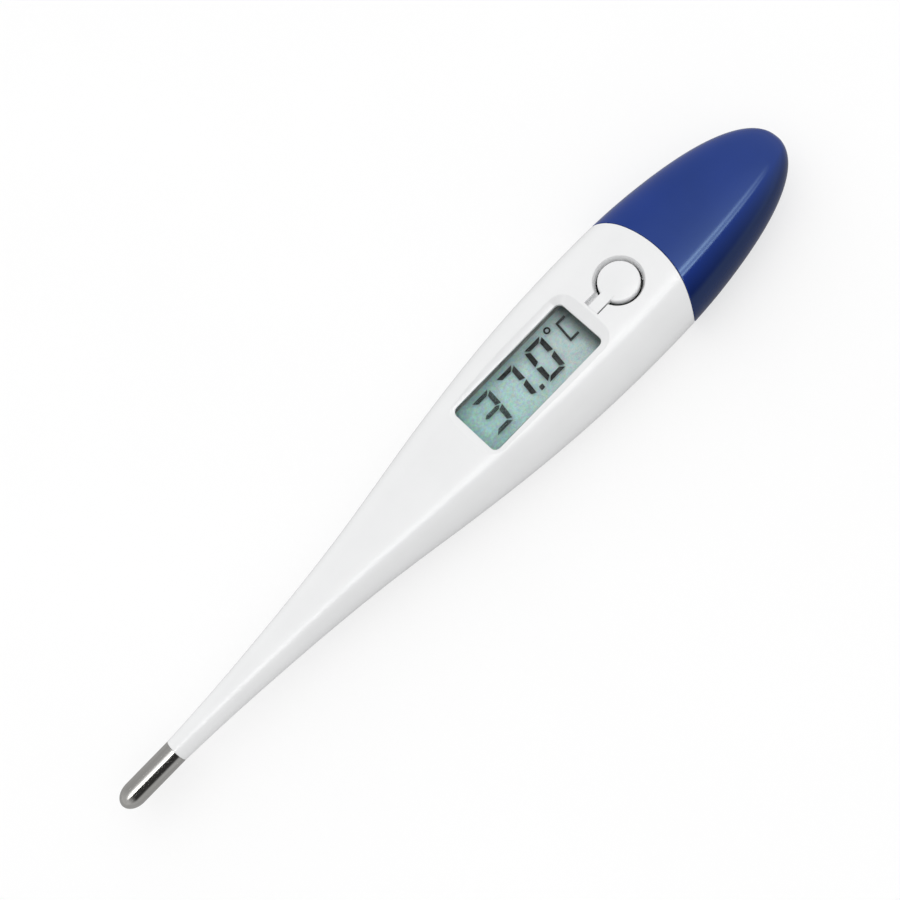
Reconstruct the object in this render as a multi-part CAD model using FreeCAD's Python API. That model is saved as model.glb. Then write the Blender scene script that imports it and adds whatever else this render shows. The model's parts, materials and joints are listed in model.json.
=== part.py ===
import FreeCAD, Part
import math
import os
from FreeCAD import Vector

# Digital clinical thermometer, millimetres.
# Everything is drawn in a working frame: x is the distance from the end of the
# probe along the long axis, y runs across, z is the height above the long axis
# with the display facing up. save() moves each piece to the part's own frame.

# ---- overall form -------------------------------------------------------
LENGTH = 126.0
HALF_LENGTH = LENGTH / 2
AXIS_HEIGHT = 5.25          # long axis above the flat of the back
PROBE_END = 10.4            # where the steel tip meets the plastic stem

# Sections of the outer form: distance from the probe's end, half width,
# height of the front, depth of the back, squareness (0 round, 1 squarish).
SECTIONS = (
    (PROBE_END, 1.76, 1.76, 1.76, 0.0),
    (17.0, 1.95, 1.90, 1.90, 0.2),
    (30.0, 2.85, 2.50, 2.50, 0.6),
    (46.0, 4.45, 3.40, 3.50, 0.9),
    (58.5, 6.65, 4.20, 4.30, 1.0),
    (70.0, 8.35, 4.80, 5.00, 1.0),
    (83.0, 9.65, 5.20, 5.45, 1.0),
    (99.0, 9.87, 5.40, 5.60, 1.0),
    (108.0, 9.20, 5.10, 5.30, 0.95),
    (120.5, 6.97, 4.05, 3.80, 0.8),
    (LENGTH, 2.95, 1.95, 1.55, 0.5),
)
# One quarter of the squarish section, from the side round to the front,
# as fractions of the half width and of the height.
QUARTER = ((1.0, 0.0), (0.975, 0.33), (0.86, 0.68), (0.64, 0.96), (0.33, 1.0), (0.0, 1.0))
AROUND = 20                 # control points round one section

# ---- walls and fits -----------------------------------------------------
WALL = 1.2                  # full wall of the housing
STEM_WALL = 0.66            # wall at the probe end of the stem
STEM_WALL_GROWTH = 0.0125   # wall gained per millimetre of stem
CAP_WALL = 1.0
NECK_GAP = 0.08             # between the cover's neck and the housing's mouth
JOIN_GAP = 0.05             # between the cover's rim and the housing's rim
END_WALL = 1.0              # plastic left at the end of the stem

# ---- arched join between housing and battery cover ----------------------
JOIN_RADIUS = 17.5
JOIN_CENTRE = 85.4
RIM_OVERLAP = 1.0           # how far the neck reaches into the cover's own wall
NECK_LENGTH = 3.0
MOUTH_HALF_WIDTH = 7.3      # bore through the neck, a rounded rectangle
MOUTH_LOW = -3.05
MOUTH_HIGH = 3.35
MOUTH_CORNER = 2.6

# ---- probe --------------------------------------------------------------
TIP_RADIUS = 1.75
TIP_NOSE = 2.4              # length of the tip's rounded end
TIP_WALL = 0.18
SPIGOT_RADIUS = 1.55
SPIGOT_START = 8.2
SPIGOT_BORE = 0.9
BEAD_X, BEAD_LENGTH, BEAD_RADIUS = 2.9, 1.5, 0.6
BEAD_NOSE = 0.65            # each end of the bead is half an ellipse
POTTING_GAP = 0.02
WIRE_RADIUS = 0.16
WIRE_GAP = 0.01
WIRE_Y = 0.25               # each lead's distance from the axis in the stem
PAD_X, PAD_Y = 66.3, 1.2    # where the leads meet the board
SLACK_START, SLACK_PITCH, SLACK_WAVES, SLACK_SWING = 38.0, 5.0, 4, 0.9
WIRE_BEND = 2.0
SPREAD_START, SPREAD_END = 62.0, 65.0   # where the leads part towards their pads

# ---- display window -----------------------------------------------------
WINDOW_X = 78.95
OPENING = (20.35, 8.3, 0.9)         # length, width, corner radius
OPENING_LIP = 0.04                  # narrow ledge between opening and bevel
SURROUND = (23.1, 10.85, 2.5)
SURROUND_SHIFT = 0.15
OPENING_EDGE = 4.42                 # height of the opening's edge at its middle
SURROUND_EDGE = 4.98                # height of the surround's edge there
OPENING_TILT = 0.75                 # degrees, rising towards the cover
SURROUND_TILT = 1.4
LENS_FLANGE = (22.4, 10.1, 1.8)
LENS_BOSS = (20.25, 8.2, 0.85)
LENS_LOW, LENS_STEP, LENS_TOP = 3.3, 4.05, 4.2
LENS_GAP = 0.05
POCKET_LOW = 2.4            # the lens's pocket starts inside the wall's inner face
BEVEL_RISE = 1.5            # carries the bevel on above the surface

# ---- push button on its moulded tongue ----------------------------------
BUTTON_X = 96.25
BUTTON_RADIUS = 2.85
BUTTON_TOP = 5.45
BUTTON_LOW = 3.95
BUTTON_CROWN = 0.25
BUTTON_EDGE = 0.25          # rounding of its rim
HOLE_RADIUS = 3.1
HOLE_FLARE = 1.5            # height of the chamfer's cone
HOLE_CHAMFER_START = 4.25
HOLE_CHAMFER_SLOPE = 0.4
TONGUE_ROOT = 91.1
TONGUE_SIDES = (-1.05, 0.55)
TONGUE_THICKNESS = 0.85
SLOT_NARROW, SLOT_WIDE = 0.2, 0.7
SLOT_SLIT = 0.15            # through cut inside the wide slot, whose floor is shallow
SLOT_FLOOR = 4.45
ROOT_GAP = 0.03
POST_RADIUS = 1.0
POST_LOW = 3.27

# ---- switch under the button --------------------------------------------
PLUNGER_RADIUS = 0.95
PLUNGER_LOW, PLUNGER_TOP = 1.1, 3.19
SWITCH_HALF_LENGTH, SWITCH_HALF_WIDTH = 1.9, 3.0
SWITCH_TOP = 1.9
SWITCH_WELL_FLOOR = 0.6
SWITCH_WELL_RADIUS = 1.0
LEG_LENGTH, LEG_REACH, LEG_THICKNESS, LEG_INSET = 0.6, 0.8, 0.2, 0.4

# ---- circuit board ------------------------------------------------------
BOARD_START, BOARD_END = 65.2, 98.6
BOARD_HALF_WIDTH = 5.2
BOARD_LOW, BOARD_TOP = -1.0, -0.2
PAD_RADIUS, PAD_TOP_RADIUS, PAD_HEIGHT = 0.55, 0.44, 0.12
WIRE_Z = BOARD_TOP + PAD_HEIGHT + WIRE_RADIUS   # the leads lie on their pads

# ---- liquid crystal display, from the back to the front -----------------
LCD_LENGTH, LCD_HALF_WIDTH = 22.6, 4.9
LEDGE_EDGE = -3.9           # the rear glass stops here and leaves a ledge
FILM = 0.18
GLASS = 0.4
CELL_GAP = 0.04
LCD_LOW = 1.58
FILM_MARGIN = 0.15
SEAL_WIDTH = 0.35
REAR_GLASS_LOW = LCD_LOW + FILM
CELL_LOW = REAR_GLASS_LOW + GLASS
CELL_TOP = CELL_LOW + CELL_GAP
LCD_GLASS_TOP = CELL_TOP + GLASS
LCD_TOP = LCD_GLASS_TOP + FILM
ZEBRA_LENGTH, ZEBRA_MARGIN = 18.0, 0.2

# ---- digits -------------------------------------------------------------
DIGIT_WIDTH, DIGIT_HEIGHT = 3.44, 5.6
STROKE_UP, STROKE_ACROSS = 0.8, 0.6
SEGMENT_GAP = 0.11
BAR_POINT = 0.3             # slope at the ends of the bars
BAR_INSET = 0.1
DIGIT_SLANT = 0.123
DIGITS_LOW = -2.03
DIGIT_PLACES = (-8.42, -3.82, 1.53)   # left edges at the foot, from the window's middle
DIGIT_SEGMENTS = ("abcdg", "abc", "abcdef")
POINT_X, POINT_SIZE = 0.23, 0.66
DEGREE_X, DEGREE_Y, DEGREE_RADIUS, DEGREE_STROKE = 6.63, 3.37, 0.5, 0.24
UNIT_X, UNIT_WIDTH, UNIT_HEIGHT, UNIT_STROKE = 7.65, 1.65, 3.35, 0.36
UNIT_DROP = 0.37            # top of the unit's letter below the top of the digits

# ---- carrier that holds board, display and battery ----------------------
RAIL_IN, RAIL_OUT = 5.25, 6.05
RAIL_START, RAIL_STEP, RAIL_END = 68.0, 76.0, 98.9
SHALLOW = (-1.6, 1.3)
DEEP = (-2.4, 2.4)
TONGUE_OUT, TONGUE_HALF = 6.6, 0.4
GUIDE_START, GUIDE_END = 70.0, 96.5
GUIDE_IN, GUIDE_LOW, GUIDE_HIGH = 6.15, 0.5, 1.3
GUIDE_OUT = 12.0
FRONT_BAR = (66.95, 69.2)
REAR_BAR = (88.7, 91.4)
STAKES = ((67.9, 4.2), (67.9, -4.2), (90.4, 4.2), (90.4, -4.2))
STAKE_RADIUS, STAKE_HEAD, STAKE_GAP = 0.5, 0.8, 0.05
STAKE_LOW = -1.35
BOARD_GAP = 0.1             # between the board's end and the battery's chamber

# ---- battery, size LR41 -------------------------------------------------
BATTERY_X = 103.0
BATTERY_RADIUS = 3.95
BATTERY_HEIGHT = 3.6
BATTERY_LOW = -2.35
BATTERY_TOP = BATTERY_LOW + BATTERY_HEIGHT
CAN_WALL = 0.2
CAN_EDGE, CAP_EDGE = 0.3, 0.25
SLIVER = 0.01               # tolerance when picking edges
RIM_HEIGHT = 0.35
NEGATIVE_RADIUS = 3.05
GASKET_RADIUS = 3.4
CHAMBER_RADIUS = 4.05
CHAMBER_WALL = 0.9
CHAMBER_LOW, CHAMBER_FLOOR, CHAMBER_TOP = -2.9, -2.5, 1.4
WEB_IN = 4.5
STRIP = 0.15                # thickness of the contact strips
CONTACT_GAP = 0.05
RISER_X = BOARD_END - 0.35  # the contacts' upright parts
FOOT_LENGTH = 1.8
POSITIVE_Y = (4.0, 5.1)     # where each contact leaves the board
NEGATIVE_Y = (-4.4, -3.0)
POSITIVE_HALF, NEGATIVE_HALF = 1.2, 1.0
DIMPLE_RADII = (0.6, 1.0)

# ---- buzzer -------------------------------------------------------------
BUZZER_X = 84.6
BUZZER_RADIUS = 4.75
BUZZER_RING_IN, BUZZER_RING_OUT = 4.4, 5.35
BUZZER_LOW = -2.5
CERAMIC_RADIUS = 3.3
CERAMIC_THICKNESS = 0.15
LEAD_RADIUS = 0.14
LEAD_BEND = 0.2
LEAD_JOG, LEAD_JOG_RISE = 0.8, 0.2      # sideways step half way up each lead
LEAD_Y_CERAMIC, LEAD_Y_PLATE = 1.5, -3.7

# ---- small parts on the board -------------------------------------------
CHIP_X, CHIP_RADIUS, CHIP_HEIGHT = 74.0, 2.6, 0.8
RESISTOR_SIZE = (1.0, 0.5, 0.35)
RESISTOR_PLACES = ((69.6, 1.6), (69.6, -1.6), (93.4, 2.4), (93.4, 0.6))
CAPACITOR_SIZE = (1.6, 0.8, 0.6)
CAPACITOR_PLACES = ((70.4, 3.6), (93.6, -2.6))

REACH = 40.0                # long enough to pass right through the part


def save(name, shape):
    """Move a finished shape to the part's own frame and write it."""
    placed = shape.copy()
    placed.translate(Vector(-HALF_LENGTH, 0, AXIS_HEIGHT))
    placed.exportStep("parts/" + name + ".step")


def box(x0, x1, y0, y1, z0, z1):
    return Part.makeBox(x1 - x0, y1 - y0, z1 - z0, Vector(x0, y0, z0))


def post(x, y, z0, z1, radius):
    return Part.makeCylinder(radius, z1 - z0, Vector(x, y, z0))


def fuse(shapes):
    return shapes[0].multiFuse(shapes[1:]).removeSplitter()


def both_sides(shape):
    """The shape and its mirror image across the long axis."""
    return [shape, shape.mirror(Vector(0, 0, 0), Vector(0, 1, 0))]


def rounded_wire(x, size, z, tilt=0.0):
    """A rounded rectangle lying flat at height z, tilted about the y axis."""
    length, width, radius = size
    corners = []
    for sx, sy, start in ((1, 1, 0), (-1, 1, 90), (-1, -1, 180), (1, -1, 270)):
        centre = Vector(sx * (length / 2 - radius), sy * (width / 2 - radius), 0)
        turn = [math.radians(start + part) for part in (0, 45, 90)]
        corners.append([centre + Vector(math.cos(a), math.sin(a), 0) * radius for a in turn])
    edges = []
    for index, (first, middle, last) in enumerate(corners):
        edges.append(Part.Arc(first, middle, last).toShape())
        edges.append(Part.makeLine(last, corners[(index + 1) % len(corners)][0]))
    wire = Part.Wire(edges)
    wire.rotate(Vector(0, 0, 0), Vector(0, 1, 0), -tilt)
    wire.translate(Vector(x, 0, z))
    return wire


def rounded_block(x, size, z0, z1):
    return Part.Face(rounded_wire(x, size, z0)).extrude(Vector(0, 0, z1 - z0))


# ---- the outer form -----------------------------------------------------
def section_outline(squareness):
    """Control points of one section of unit half width and unit height."""
    points = []
    steps = len(QUARTER) - 1
    for index in range(AROUND):
        quarter, step = divmod(index, steps)
        angle = 2 * math.pi * index / AROUND
        y, z = QUARTER[step if quarter % 2 == 0 else steps - step]
        y = y if quarter in (0, 3) else -y
        z = z if quarter in (0, 1) else -z
        points.append((math.cos(angle) * (1 - squareness) + y * squareness,
                       math.sin(angle) * (1 - squareness) + z * squareness))
    # The curve runs a little inside its control points, so scale it back out.
    width = (points[-1][0] + 4 * points[0][0] + points[1][0]) / 6
    height = (points[steps - 1][1] + 4 * points[steps][1] + points[steps + 1][1]) / 6
    return [(y / width, z / height) for y, z in points]


def wall_at(x):
    """The housing's wall thickens along the stem up to the full wall."""
    return min(WALL, STEM_WALL + STEM_WALL_GROWTH * (x - PROBE_END))


def form(inset):
    """The outer form shrunk by inset(x), as a closed solid."""
    rows = []
    for x, half_width, front, back, squareness in SECTIONS:
        t = inset(x)
        end = x - t if x == LENGTH else x
        rows.append([Vector(end, y * (half_width - t), z * ((front if z > 0 else back) - t))
                     for y, z in section_outline(squareness)])
    rows.append([Vector(LENGTH - inset(LENGTH), 0, 0)] * AROUND)
    spans = len(rows) - 3
    surface = Part.BSplineSurface()
    surface.buildFromPolesMultsKnots(
        rows, [4] + [1] * (spans - 1) + [4], [1] * (AROUND + 1),
        list(range(spans + 1)), list(range(AROUND + 1)), False, True, 3, 3)
    disc = Part.Face(Part.Wire([surface.uIso(0).toShape()]))
    shell = Part.makeShell([surface.toShape(), disc])
    shell.sewShape()
    solid = Part.makeSolid(shell)
    if solid.Volume < 0:
        solid.reverse()
    return solid


def inset_form(depth):
    return form(lambda x: depth)


def stem_side(radius):
    """All space on the probe's side of an arched cut of this radius."""
    slab = box(-REACH, JOIN_CENTRE, -REACH, REACH, -REACH, REACH)
    return slab.fuse(post(JOIN_CENTRE, 0, -REACH, REACH, radius))


def above_back():
    """All space above the flat of the back."""
    return box(-REACH, LENGTH + REACH, -REACH, REACH, -AXIS_HEIGHT, REACH)


def revolve(edges):
    """Turn a closed outline in the x-y plane about the long axis."""
    face = Part.Face(Part.Wire(Part.__sortEdges__(edges)))
    return face.revolve(Vector(0, 0, 0), Vector(1, 0, 0), 360)


def blunt_rod(x0, nose, radius, x1):
    """A round rod from x0 to x1 whose first end is half an ellipse."""
    curve = Part.Ellipse(Vector(x0 + nose, 0, 0), max(nose, radius), min(nose, radius))
    arc = Part.Arc(curve, math.pi / 2, math.pi).toShape()
    shoulder = Vector(x0 + nose, radius, 0)
    return revolve([arc, Part.makeLine(shoulder, Vector(x1, radius, 0)),
                    Part.makeLine(Vector(x1, radius, 0), Vector(x1, 0, 0)),
                    Part.makeLine(Vector(x1, 0, 0), Vector(x0, 0, 0))])


def rod(x0, x1, radius, y=0.0, z=0.0):
    return Part.makeCylinder(radius, x1 - x0, Vector(x0, y, z), Vector(1, 0, 0))


# ---- housing and what is fixed in it ------------------------------------
def window_cuts():
    """The lens's pocket, the bevelled surround and the opening."""
    sizes = [inner + (outer - inner) * BEVEL_RISE for inner, outer in zip(OPENING, SURROUND)]
    height = OPENING_EDGE + (SURROUND_EDGE - OPENING_EDGE) * BEVEL_RISE
    tilt = OPENING_TILT + (SURROUND_TILT - OPENING_TILT) * BEVEL_RISE
    length, width, radius = OPENING
    foot = (length + 2 * OPENING_LIP, width + 2 * OPENING_LIP, radius + OPENING_LIP)
    low = rounded_wire(WINDOW_X, foot, OPENING_EDGE, OPENING_TILT)
    high = rounded_wire(WINDOW_X + SURROUND_SHIFT * BEVEL_RISE, sizes, height, tilt)
    bevel = Part.makeLoft([low, high], True, True)
    opening = rounded_block(WINDOW_X, OPENING, LENS_LOW, SURROUND_EDGE)
    length, width, radius = LENS_FLANGE
    roomy = (length + 2 * LENS_GAP, width + 2 * LENS_GAP, radius)
    pocket = rounded_block(WINDOW_X, roomy, POCKET_LOW, LENS_STEP)
    return [pocket, bevel, opening]


def button_cut():
    """The button's hole with its chamfer, and the slots beside the tongue."""
    hole = post(BUTTON_X, 0, POST_LOW, REACH, HOLE_RADIUS)
    flare = Part.makeCone(HOLE_RADIUS, HOLE_RADIUS + HOLE_CHAMFER_SLOPE * HOLE_FLARE, HOLE_FLARE,
                          Vector(BUTTON_X, 0, HOLE_CHAMFER_START))
    slot = box(TONGUE_ROOT, BUTTON_X, TONGUE_SIDES[0] - SLOT_NARROW,
               TONGUE_SIDES[1] + SLOT_SLIT, POST_LOW, REACH)
    shallow = box(TONGUE_ROOT, BUTTON_X, TONGUE_SIDES[1], TONGUE_SIDES[1] + SLOT_WIDE,
                  SLOT_FLOOR, REACH)
    return fuse([hole, flare, slot, shallow])


def guide_rails():
    """Two ledges on each side that the carrier's tongues run between."""
    upper = box(GUIDE_START, GUIDE_END, GUIDE_IN, GUIDE_OUT, GUIDE_LOW, GUIDE_HIGH)
    lower = box(GUIDE_START, GUIDE_END, GUIDE_IN, GUIDE_OUT, -GUIDE_HIGH, -GUIDE_LOW)
    rails = both_sides(upper) + both_sides(lower)
    inside = inset_form(WALL / 2)
    return [rail.common(inside) for rail in rails]


def make_housing():
    cavity = form(wall_at).common(box(PROBE_END + END_WALL, LENGTH, -REACH, REACH, -REACH, REACH))
    shell = form(lambda x: 0).common(stem_side(JOIN_RADIUS)).cut(cavity)
    shell = shell.common(above_back())
    spigot = rod(SPIGOT_START, PROBE_END + END_WALL / 2, SPIGOT_RADIUS)
    shell = fuse([shell, spigot] + guide_rails())
    bore = rod(SPIGOT_START, PROBE_END + 2 * END_WALL, SPIGOT_BORE)
    for tool in window_cuts() + [bore, button_cut()]:
        shell = shell.cut(tool)
    return shell


def make_lens():
    flange = rounded_block(WINDOW_X, LENS_FLANGE, LENS_LOW, LENS_STEP)
    boss = rounded_block(WINDOW_X, LENS_BOSS, LENS_STEP, LENS_TOP)
    return fuse([flange, boss])


def make_tip():
    outer = blunt_rod(0, TIP_NOSE, TIP_RADIUS, PROBE_END)
    inner = blunt_rod(TIP_WALL, TIP_NOSE - TIP_WALL, TIP_RADIUS - TIP_WALL, PROBE_END)
    return outer.cut(inner)


def make_bead():
    middle = BEAD_X + BEAD_LENGTH / 2
    front = blunt_rod(BEAD_X, BEAD_NOSE, BEAD_RADIUS, middle)
    back = front.mirror(Vector(middle, 0, 0), Vector(1, 0, 0))
    return fuse([front, back])


def make_potting():
    """Filling of the steel tip, holding the bead and the ends of its leads."""
    gap = TIP_WALL + POTTING_GAP
    filling = blunt_rod(gap, TIP_NOSE - gap, TIP_RADIUS - gap, SPIGOT_START - POTTING_GAP)
    beds = [rod(BEAD_X + BEAD_LENGTH / 2, SPIGOT_START, WIRE_RADIUS + WIRE_GAP, y, WIRE_Z)
            for y in (WIRE_Y, -WIRE_Y)]
    return filling.cut(fuse([make_bead()] + beds))


def rounded_path(points, radius):
    """Straight runs through the points, with each corner rounded off."""
    edges = []
    last = points[0]
    for before, corner, after in zip(points, points[1:], points[2:]):
        back = (before - corner).normalize()
        ahead = (after - corner).normalize()
        turn = math.pi - back.getAngle(ahead)
        start = corner + back * radius * math.tan(turn / 2)
        end = corner + ahead * radius * math.tan(turn / 2)
        inward = (back + ahead).normalize()
        middle = corner + inward * (radius / math.cos(turn / 2) - radius)
        edges.append(Part.makeLine(last, start))
        edges.append(Part.Arc(start, middle, end).toShape())
        last = end
    edges.append(Part.makeLine(last, points[-1]))
    return Part.Wire(edges)


def swept(points, bend, radius):
    """A round wire of this radius along a rounded path."""
    circle = Part.makeCircle(radius, points[0], points[1] - points[0])
    return rounded_path(points, bend).makePipe(Part.Face(Part.Wire([circle])))


def make_wires():
    """Two leads, straight in the stem, with a wavy slack length for service."""
    wires = []
    for side in (1, -1):
        y = side * WIRE_Y
        route = [(BEAD_X + BEAD_LENGTH, y), (SLACK_START, y)]
        for wave in range(SLACK_WAVES):
            swing = SLACK_SWING if wave % 2 == 0 else -SLACK_SWING
            route.append((SLACK_START + SLACK_PITCH * (wave + 0.5), y + swing))
        slack_end = SLACK_START + SLACK_PITCH * SLACK_WAVES
        route += [(slack_end, y), (SPREAD_START, y), (SPREAD_END, side * PAD_Y), (PAD_X, side * PAD_Y)]
        wires.append(swept([Vector(x, y, WIRE_Z) for x, y in route], WIRE_BEND, WIRE_RADIUS))
    return Part.makeCompound(wires)


# ---- button and switch --------------------------------------------------
def make_button():
    ball = (BUTTON_RADIUS ** 2 + BUTTON_CROWN ** 2) / (2 * BUTTON_CROWN)
    crown = Part.makeSphere(ball, Vector(BUTTON_X, 0, BUTTON_TOP - ball))
    disc = post(BUTTON_X, 0, BUTTON_LOW, BUTTON_TOP, BUTTON_RADIUS).common(crown)
    rim = [edge for edge in disc.Edges
           if edge.BoundBox.ZMin > BUTTON_TOP - 2 * BUTTON_CROWN and edge.Length > BUTTON_RADIUS * 6]
    disc = disc.makeFillet(BUTTON_EDGE, rim)
    skin = form(lambda x: 0).cut(inset_form(TONGUE_THICKNESS))
    tongue = box(TONGUE_ROOT + ROOT_GAP, BUTTON_X - BUTTON_RADIUS / 2, TONGUE_SIDES[0], TONGUE_SIDES[1],
                 0, REACH).common(skin)
    stem = post(BUTTON_X, 0, POST_LOW, (BUTTON_LOW + BUTTON_TOP) / 2, POST_RADIUS)
    return fuse([disc, tongue, stem])


def make_plunger():
    return post(BUTTON_X, 0, PLUNGER_LOW, PLUNGER_TOP, PLUNGER_RADIUS)


def make_switch_body():
    body = box(BUTTON_X - SWITCH_HALF_LENGTH, BUTTON_X + SWITCH_HALF_LENGTH,
               -SWITCH_HALF_WIDTH, SWITCH_HALF_WIDTH, BOARD_TOP, SWITCH_TOP)
    return body.cut(post(BUTTON_X, 0, SWITCH_WELL_FLOOR, SWITCH_TOP, SWITCH_WELL_RADIUS))


def make_switch_legs():
    legs = []
    first = BUTTON_X - SWITCH_HALF_LENGTH + LEG_INSET
    last = BUTTON_X + SWITCH_HALF_LENGTH - LEG_INSET - LEG_LENGTH
    for x in (first, last):
        legs += both_sides(box(x, x + LEG_LENGTH, SWITCH_HALF_WIDTH, SWITCH_HALF_WIDTH + LEG_REACH,
                               BOARD_TOP, BOARD_TOP + LEG_THICKNESS))
    return Part.makeCompound(legs)


# ---- board, display and their small parts -------------------------------
def make_board():
    board = box(BOARD_START, BOARD_END, -BOARD_HALF_WIDTH, BOARD_HALF_WIDTH, BOARD_LOW, BOARD_TOP)
    holes = [post(x, y, BOARD_LOW, BOARD_TOP, STAKE_RADIUS + STAKE_GAP) for x, y in STAKES]
    return board.cut(fuse(holes))


def lcd_plate(margin, edge, z0, z1):
    """A plate of the display; edge is how far it reaches on the ledge's side."""
    half = LCD_LENGTH / 2 - margin
    return box(WINDOW_X - half, WINDOW_X + half, edge, LCD_HALF_WIDTH - margin, z0, z1)


def make_seal():
    """The thin bead of glue that joins the two glasses all round."""
    outer_edge = LEDGE_EDGE + FILM_MARGIN
    outside = lcd_plate(FILM_MARGIN, outer_edge, CELL_LOW, CELL_TOP)
    inside = lcd_plate(FILM_MARGIN + SEAL_WIDTH, outer_edge + SEAL_WIDTH, CELL_LOW, CELL_TOP)
    return outside.cut(inside)


def segment_outlines():
    """Corner points of the seven bars, from the digit's lower left corner."""
    w, h, mid = DIGIT_WIDTH, DIGIT_HEIGHT, DIGIT_HEIGHT / 2
    up, across, gap = STROKE_UP, STROKE_ACROSS, SEGMENT_GAP
    point, nib = BAR_POINT, BAR_POINT + BAR_INSET
    top = ((point, h), (w - point, h), (w - up - gap, h - across), (up + gap, h - across))
    left = ((0, mid + gap), (up, mid + across / 2 + gap), (up, h - across - gap),
            (BAR_INSET, h - point))
    middle = ((nib, mid), (up, mid + across / 2), (w - up, mid + across / 2), (w - nib, mid),
              (w - up, mid - across / 2), (up, mid - across / 2))
    return {
        "a": top,
        "b": [(w - x, y) for x, y in left],
        "c": [(w - x, h - y) for x, y in left],
        "d": [(x, h - y) for x, y in top],
        "e": [(x, h - y) for x, y in left],
        "f": left,
        "g": middle,
    }


def flat_piece(points, x, y):
    """A slanted flat shape in the display's cell."""
    corners = [Vector(WINDOW_X + x + px + py * DIGIT_SLANT, y + py, CELL_LOW) for px, py in points]
    wire = Part.makePolygon(corners + corners[:1])
    return Part.Face(wire).extrude(Vector(0, 0, CELL_GAP))


def rectangle(width, height):
    return ((0, 0), (width, 0), (width, height), (0, height))


def make_segments():
    """A reading of 37.0 degrees, each bar a separate flat solid."""
    outlines = segment_outlines()
    bars = []
    for place, letters in zip(DIGIT_PLACES, DIGIT_SEGMENTS):
        bars += [flat_piece(outlines[letter], place, DIGITS_LOW) for letter in letters]
    bars.append(flat_piece(rectangle(POINT_SIZE, POINT_SIZE), POINT_X, DIGITS_LOW))
    ring = post(WINDOW_X + DEGREE_X, DEGREE_Y, CELL_LOW, CELL_TOP, DEGREE_RADIUS)
    bars.append(ring.cut(post(WINDOW_X + DEGREE_X, DEGREE_Y, CELL_LOW, CELL_TOP,
                              DEGREE_RADIUS - DEGREE_STROKE)))
    foot = DIGITS_LOW + DIGIT_HEIGHT - UNIT_HEIGHT - UNIT_DROP
    outer = flat_piece(rectangle(UNIT_WIDTH, UNIT_HEIGHT), UNIT_X, foot)
    inner = flat_piece(rectangle(UNIT_WIDTH, UNIT_HEIGHT - 2 * UNIT_STROKE),
                       UNIT_X + UNIT_STROKE, foot + UNIT_STROKE)
    bars.append(outer.cut(inner))
    return Part.makeCompound(bars)


def make_zebra():
    """Rubber connector between the board and the display's ledge."""
    half = ZEBRA_LENGTH / 2
    return box(WINDOW_X - half, WINDOW_X + half, -LCD_HALF_WIDTH + ZEBRA_MARGIN,
               LEDGE_EDGE - ZEBRA_MARGIN, BOARD_TOP, CELL_TOP)


def make_chip_cover():
    ball = (CHIP_RADIUS ** 2 + CHIP_HEIGHT ** 2) / (2 * CHIP_HEIGHT)
    drop = Part.makeSphere(ball, Vector(CHIP_X, 0, BOARD_LOW - CHIP_HEIGHT + ball))
    return drop.common(post(CHIP_X, 0, BOARD_LOW - CHIP_HEIGHT, BOARD_LOW, CHIP_RADIUS))


def make_chips(size, places):
    """Small rectangular parts on the underside of the board."""
    length, width, height = size
    return Part.makeCompound([box(x, x + length, y - width / 2, y + width / 2,
                                  BOARD_LOW - height, BOARD_LOW) for x, y in places])


def make_buzzer_plate():
    return post(BUZZER_X, 0, BUZZER_LOW, BUZZER_LOW + STRIP, BUZZER_RADIUS)


def make_ceramic():
    low = BUZZER_LOW + STRIP
    return post(BUZZER_X, 0, low, low + CERAMIC_THICKNESS, CERAMIC_RADIUS)


def make_buzzer_leads():
    """One lead from the ceramic and one from the plate, up to the board."""
    plate_top = BUZZER_LOW + STRIP
    leads = []
    ends = ((LEAD_Y_CERAMIC, plate_top + CERAMIC_THICKNESS), (LEAD_Y_PLATE, plate_top))
    for y, low in ends:
        middle = (low + BOARD_LOW) / 2
        route = ((0, low), (0, middle - LEAD_JOG_RISE), (LEAD_JOG, middle + LEAD_JOG_RISE),
                 (LEAD_JOG, BOARD_LOW))
        leads.append(swept([Vector(BUZZER_X + x, y, z) for x, z in route], LEAD_BEND, LEAD_RADIUS))
    return Part.makeCompound(leads)


def make_solder():
    """A low pad of solder under the end of each of the sensor's two leads."""
    pads = [Part.makeCone(PAD_RADIUS, PAD_TOP_RADIUS, PAD_HEIGHT, Vector(PAD_X, y, BOARD_TOP))
            for y in (PAD_Y, -PAD_Y)]
    return Part.makeCompound(pads)


# ---- battery and contacts -----------------------------------------------
def make_battery_case():
    """The positive can, crimped round the gasket at its lower rim."""
    can = post(BATTERY_X, 0, BATTERY_LOW + RIM_HEIGHT, BATTERY_TOP, BATTERY_RADIUS)
    edge = [e for e in can.Edges if e.BoundBox.ZMin > BATTERY_TOP - SLIVER]
    can = can.makeFillet(CAN_EDGE, edge)
    return can.cut(post(BATTERY_X, 0, BATTERY_LOW, BATTERY_TOP - CAN_WALL, GASKET_RADIUS))


def make_gasket():
    ring = post(BATTERY_X, 0, BATTERY_LOW + RIM_HEIGHT / 2, BATTERY_TOP - CAN_WALL, GASKET_RADIUS)
    return ring.cut(post(BATTERY_X, 0, BATTERY_LOW, BATTERY_TOP - CAN_WALL, NEGATIVE_RADIUS))


def make_negative_cap():
    cap = post(BATTERY_X, 0, BATTERY_LOW, BATTERY_TOP - 2 * CAN_WALL, NEGATIVE_RADIUS)
    edge = [e for e in cap.Edges if e.BoundBox.ZMax < BATTERY_LOW + SLIVER]
    return cap.makeFillet(CAP_EDGE, edge)


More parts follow.
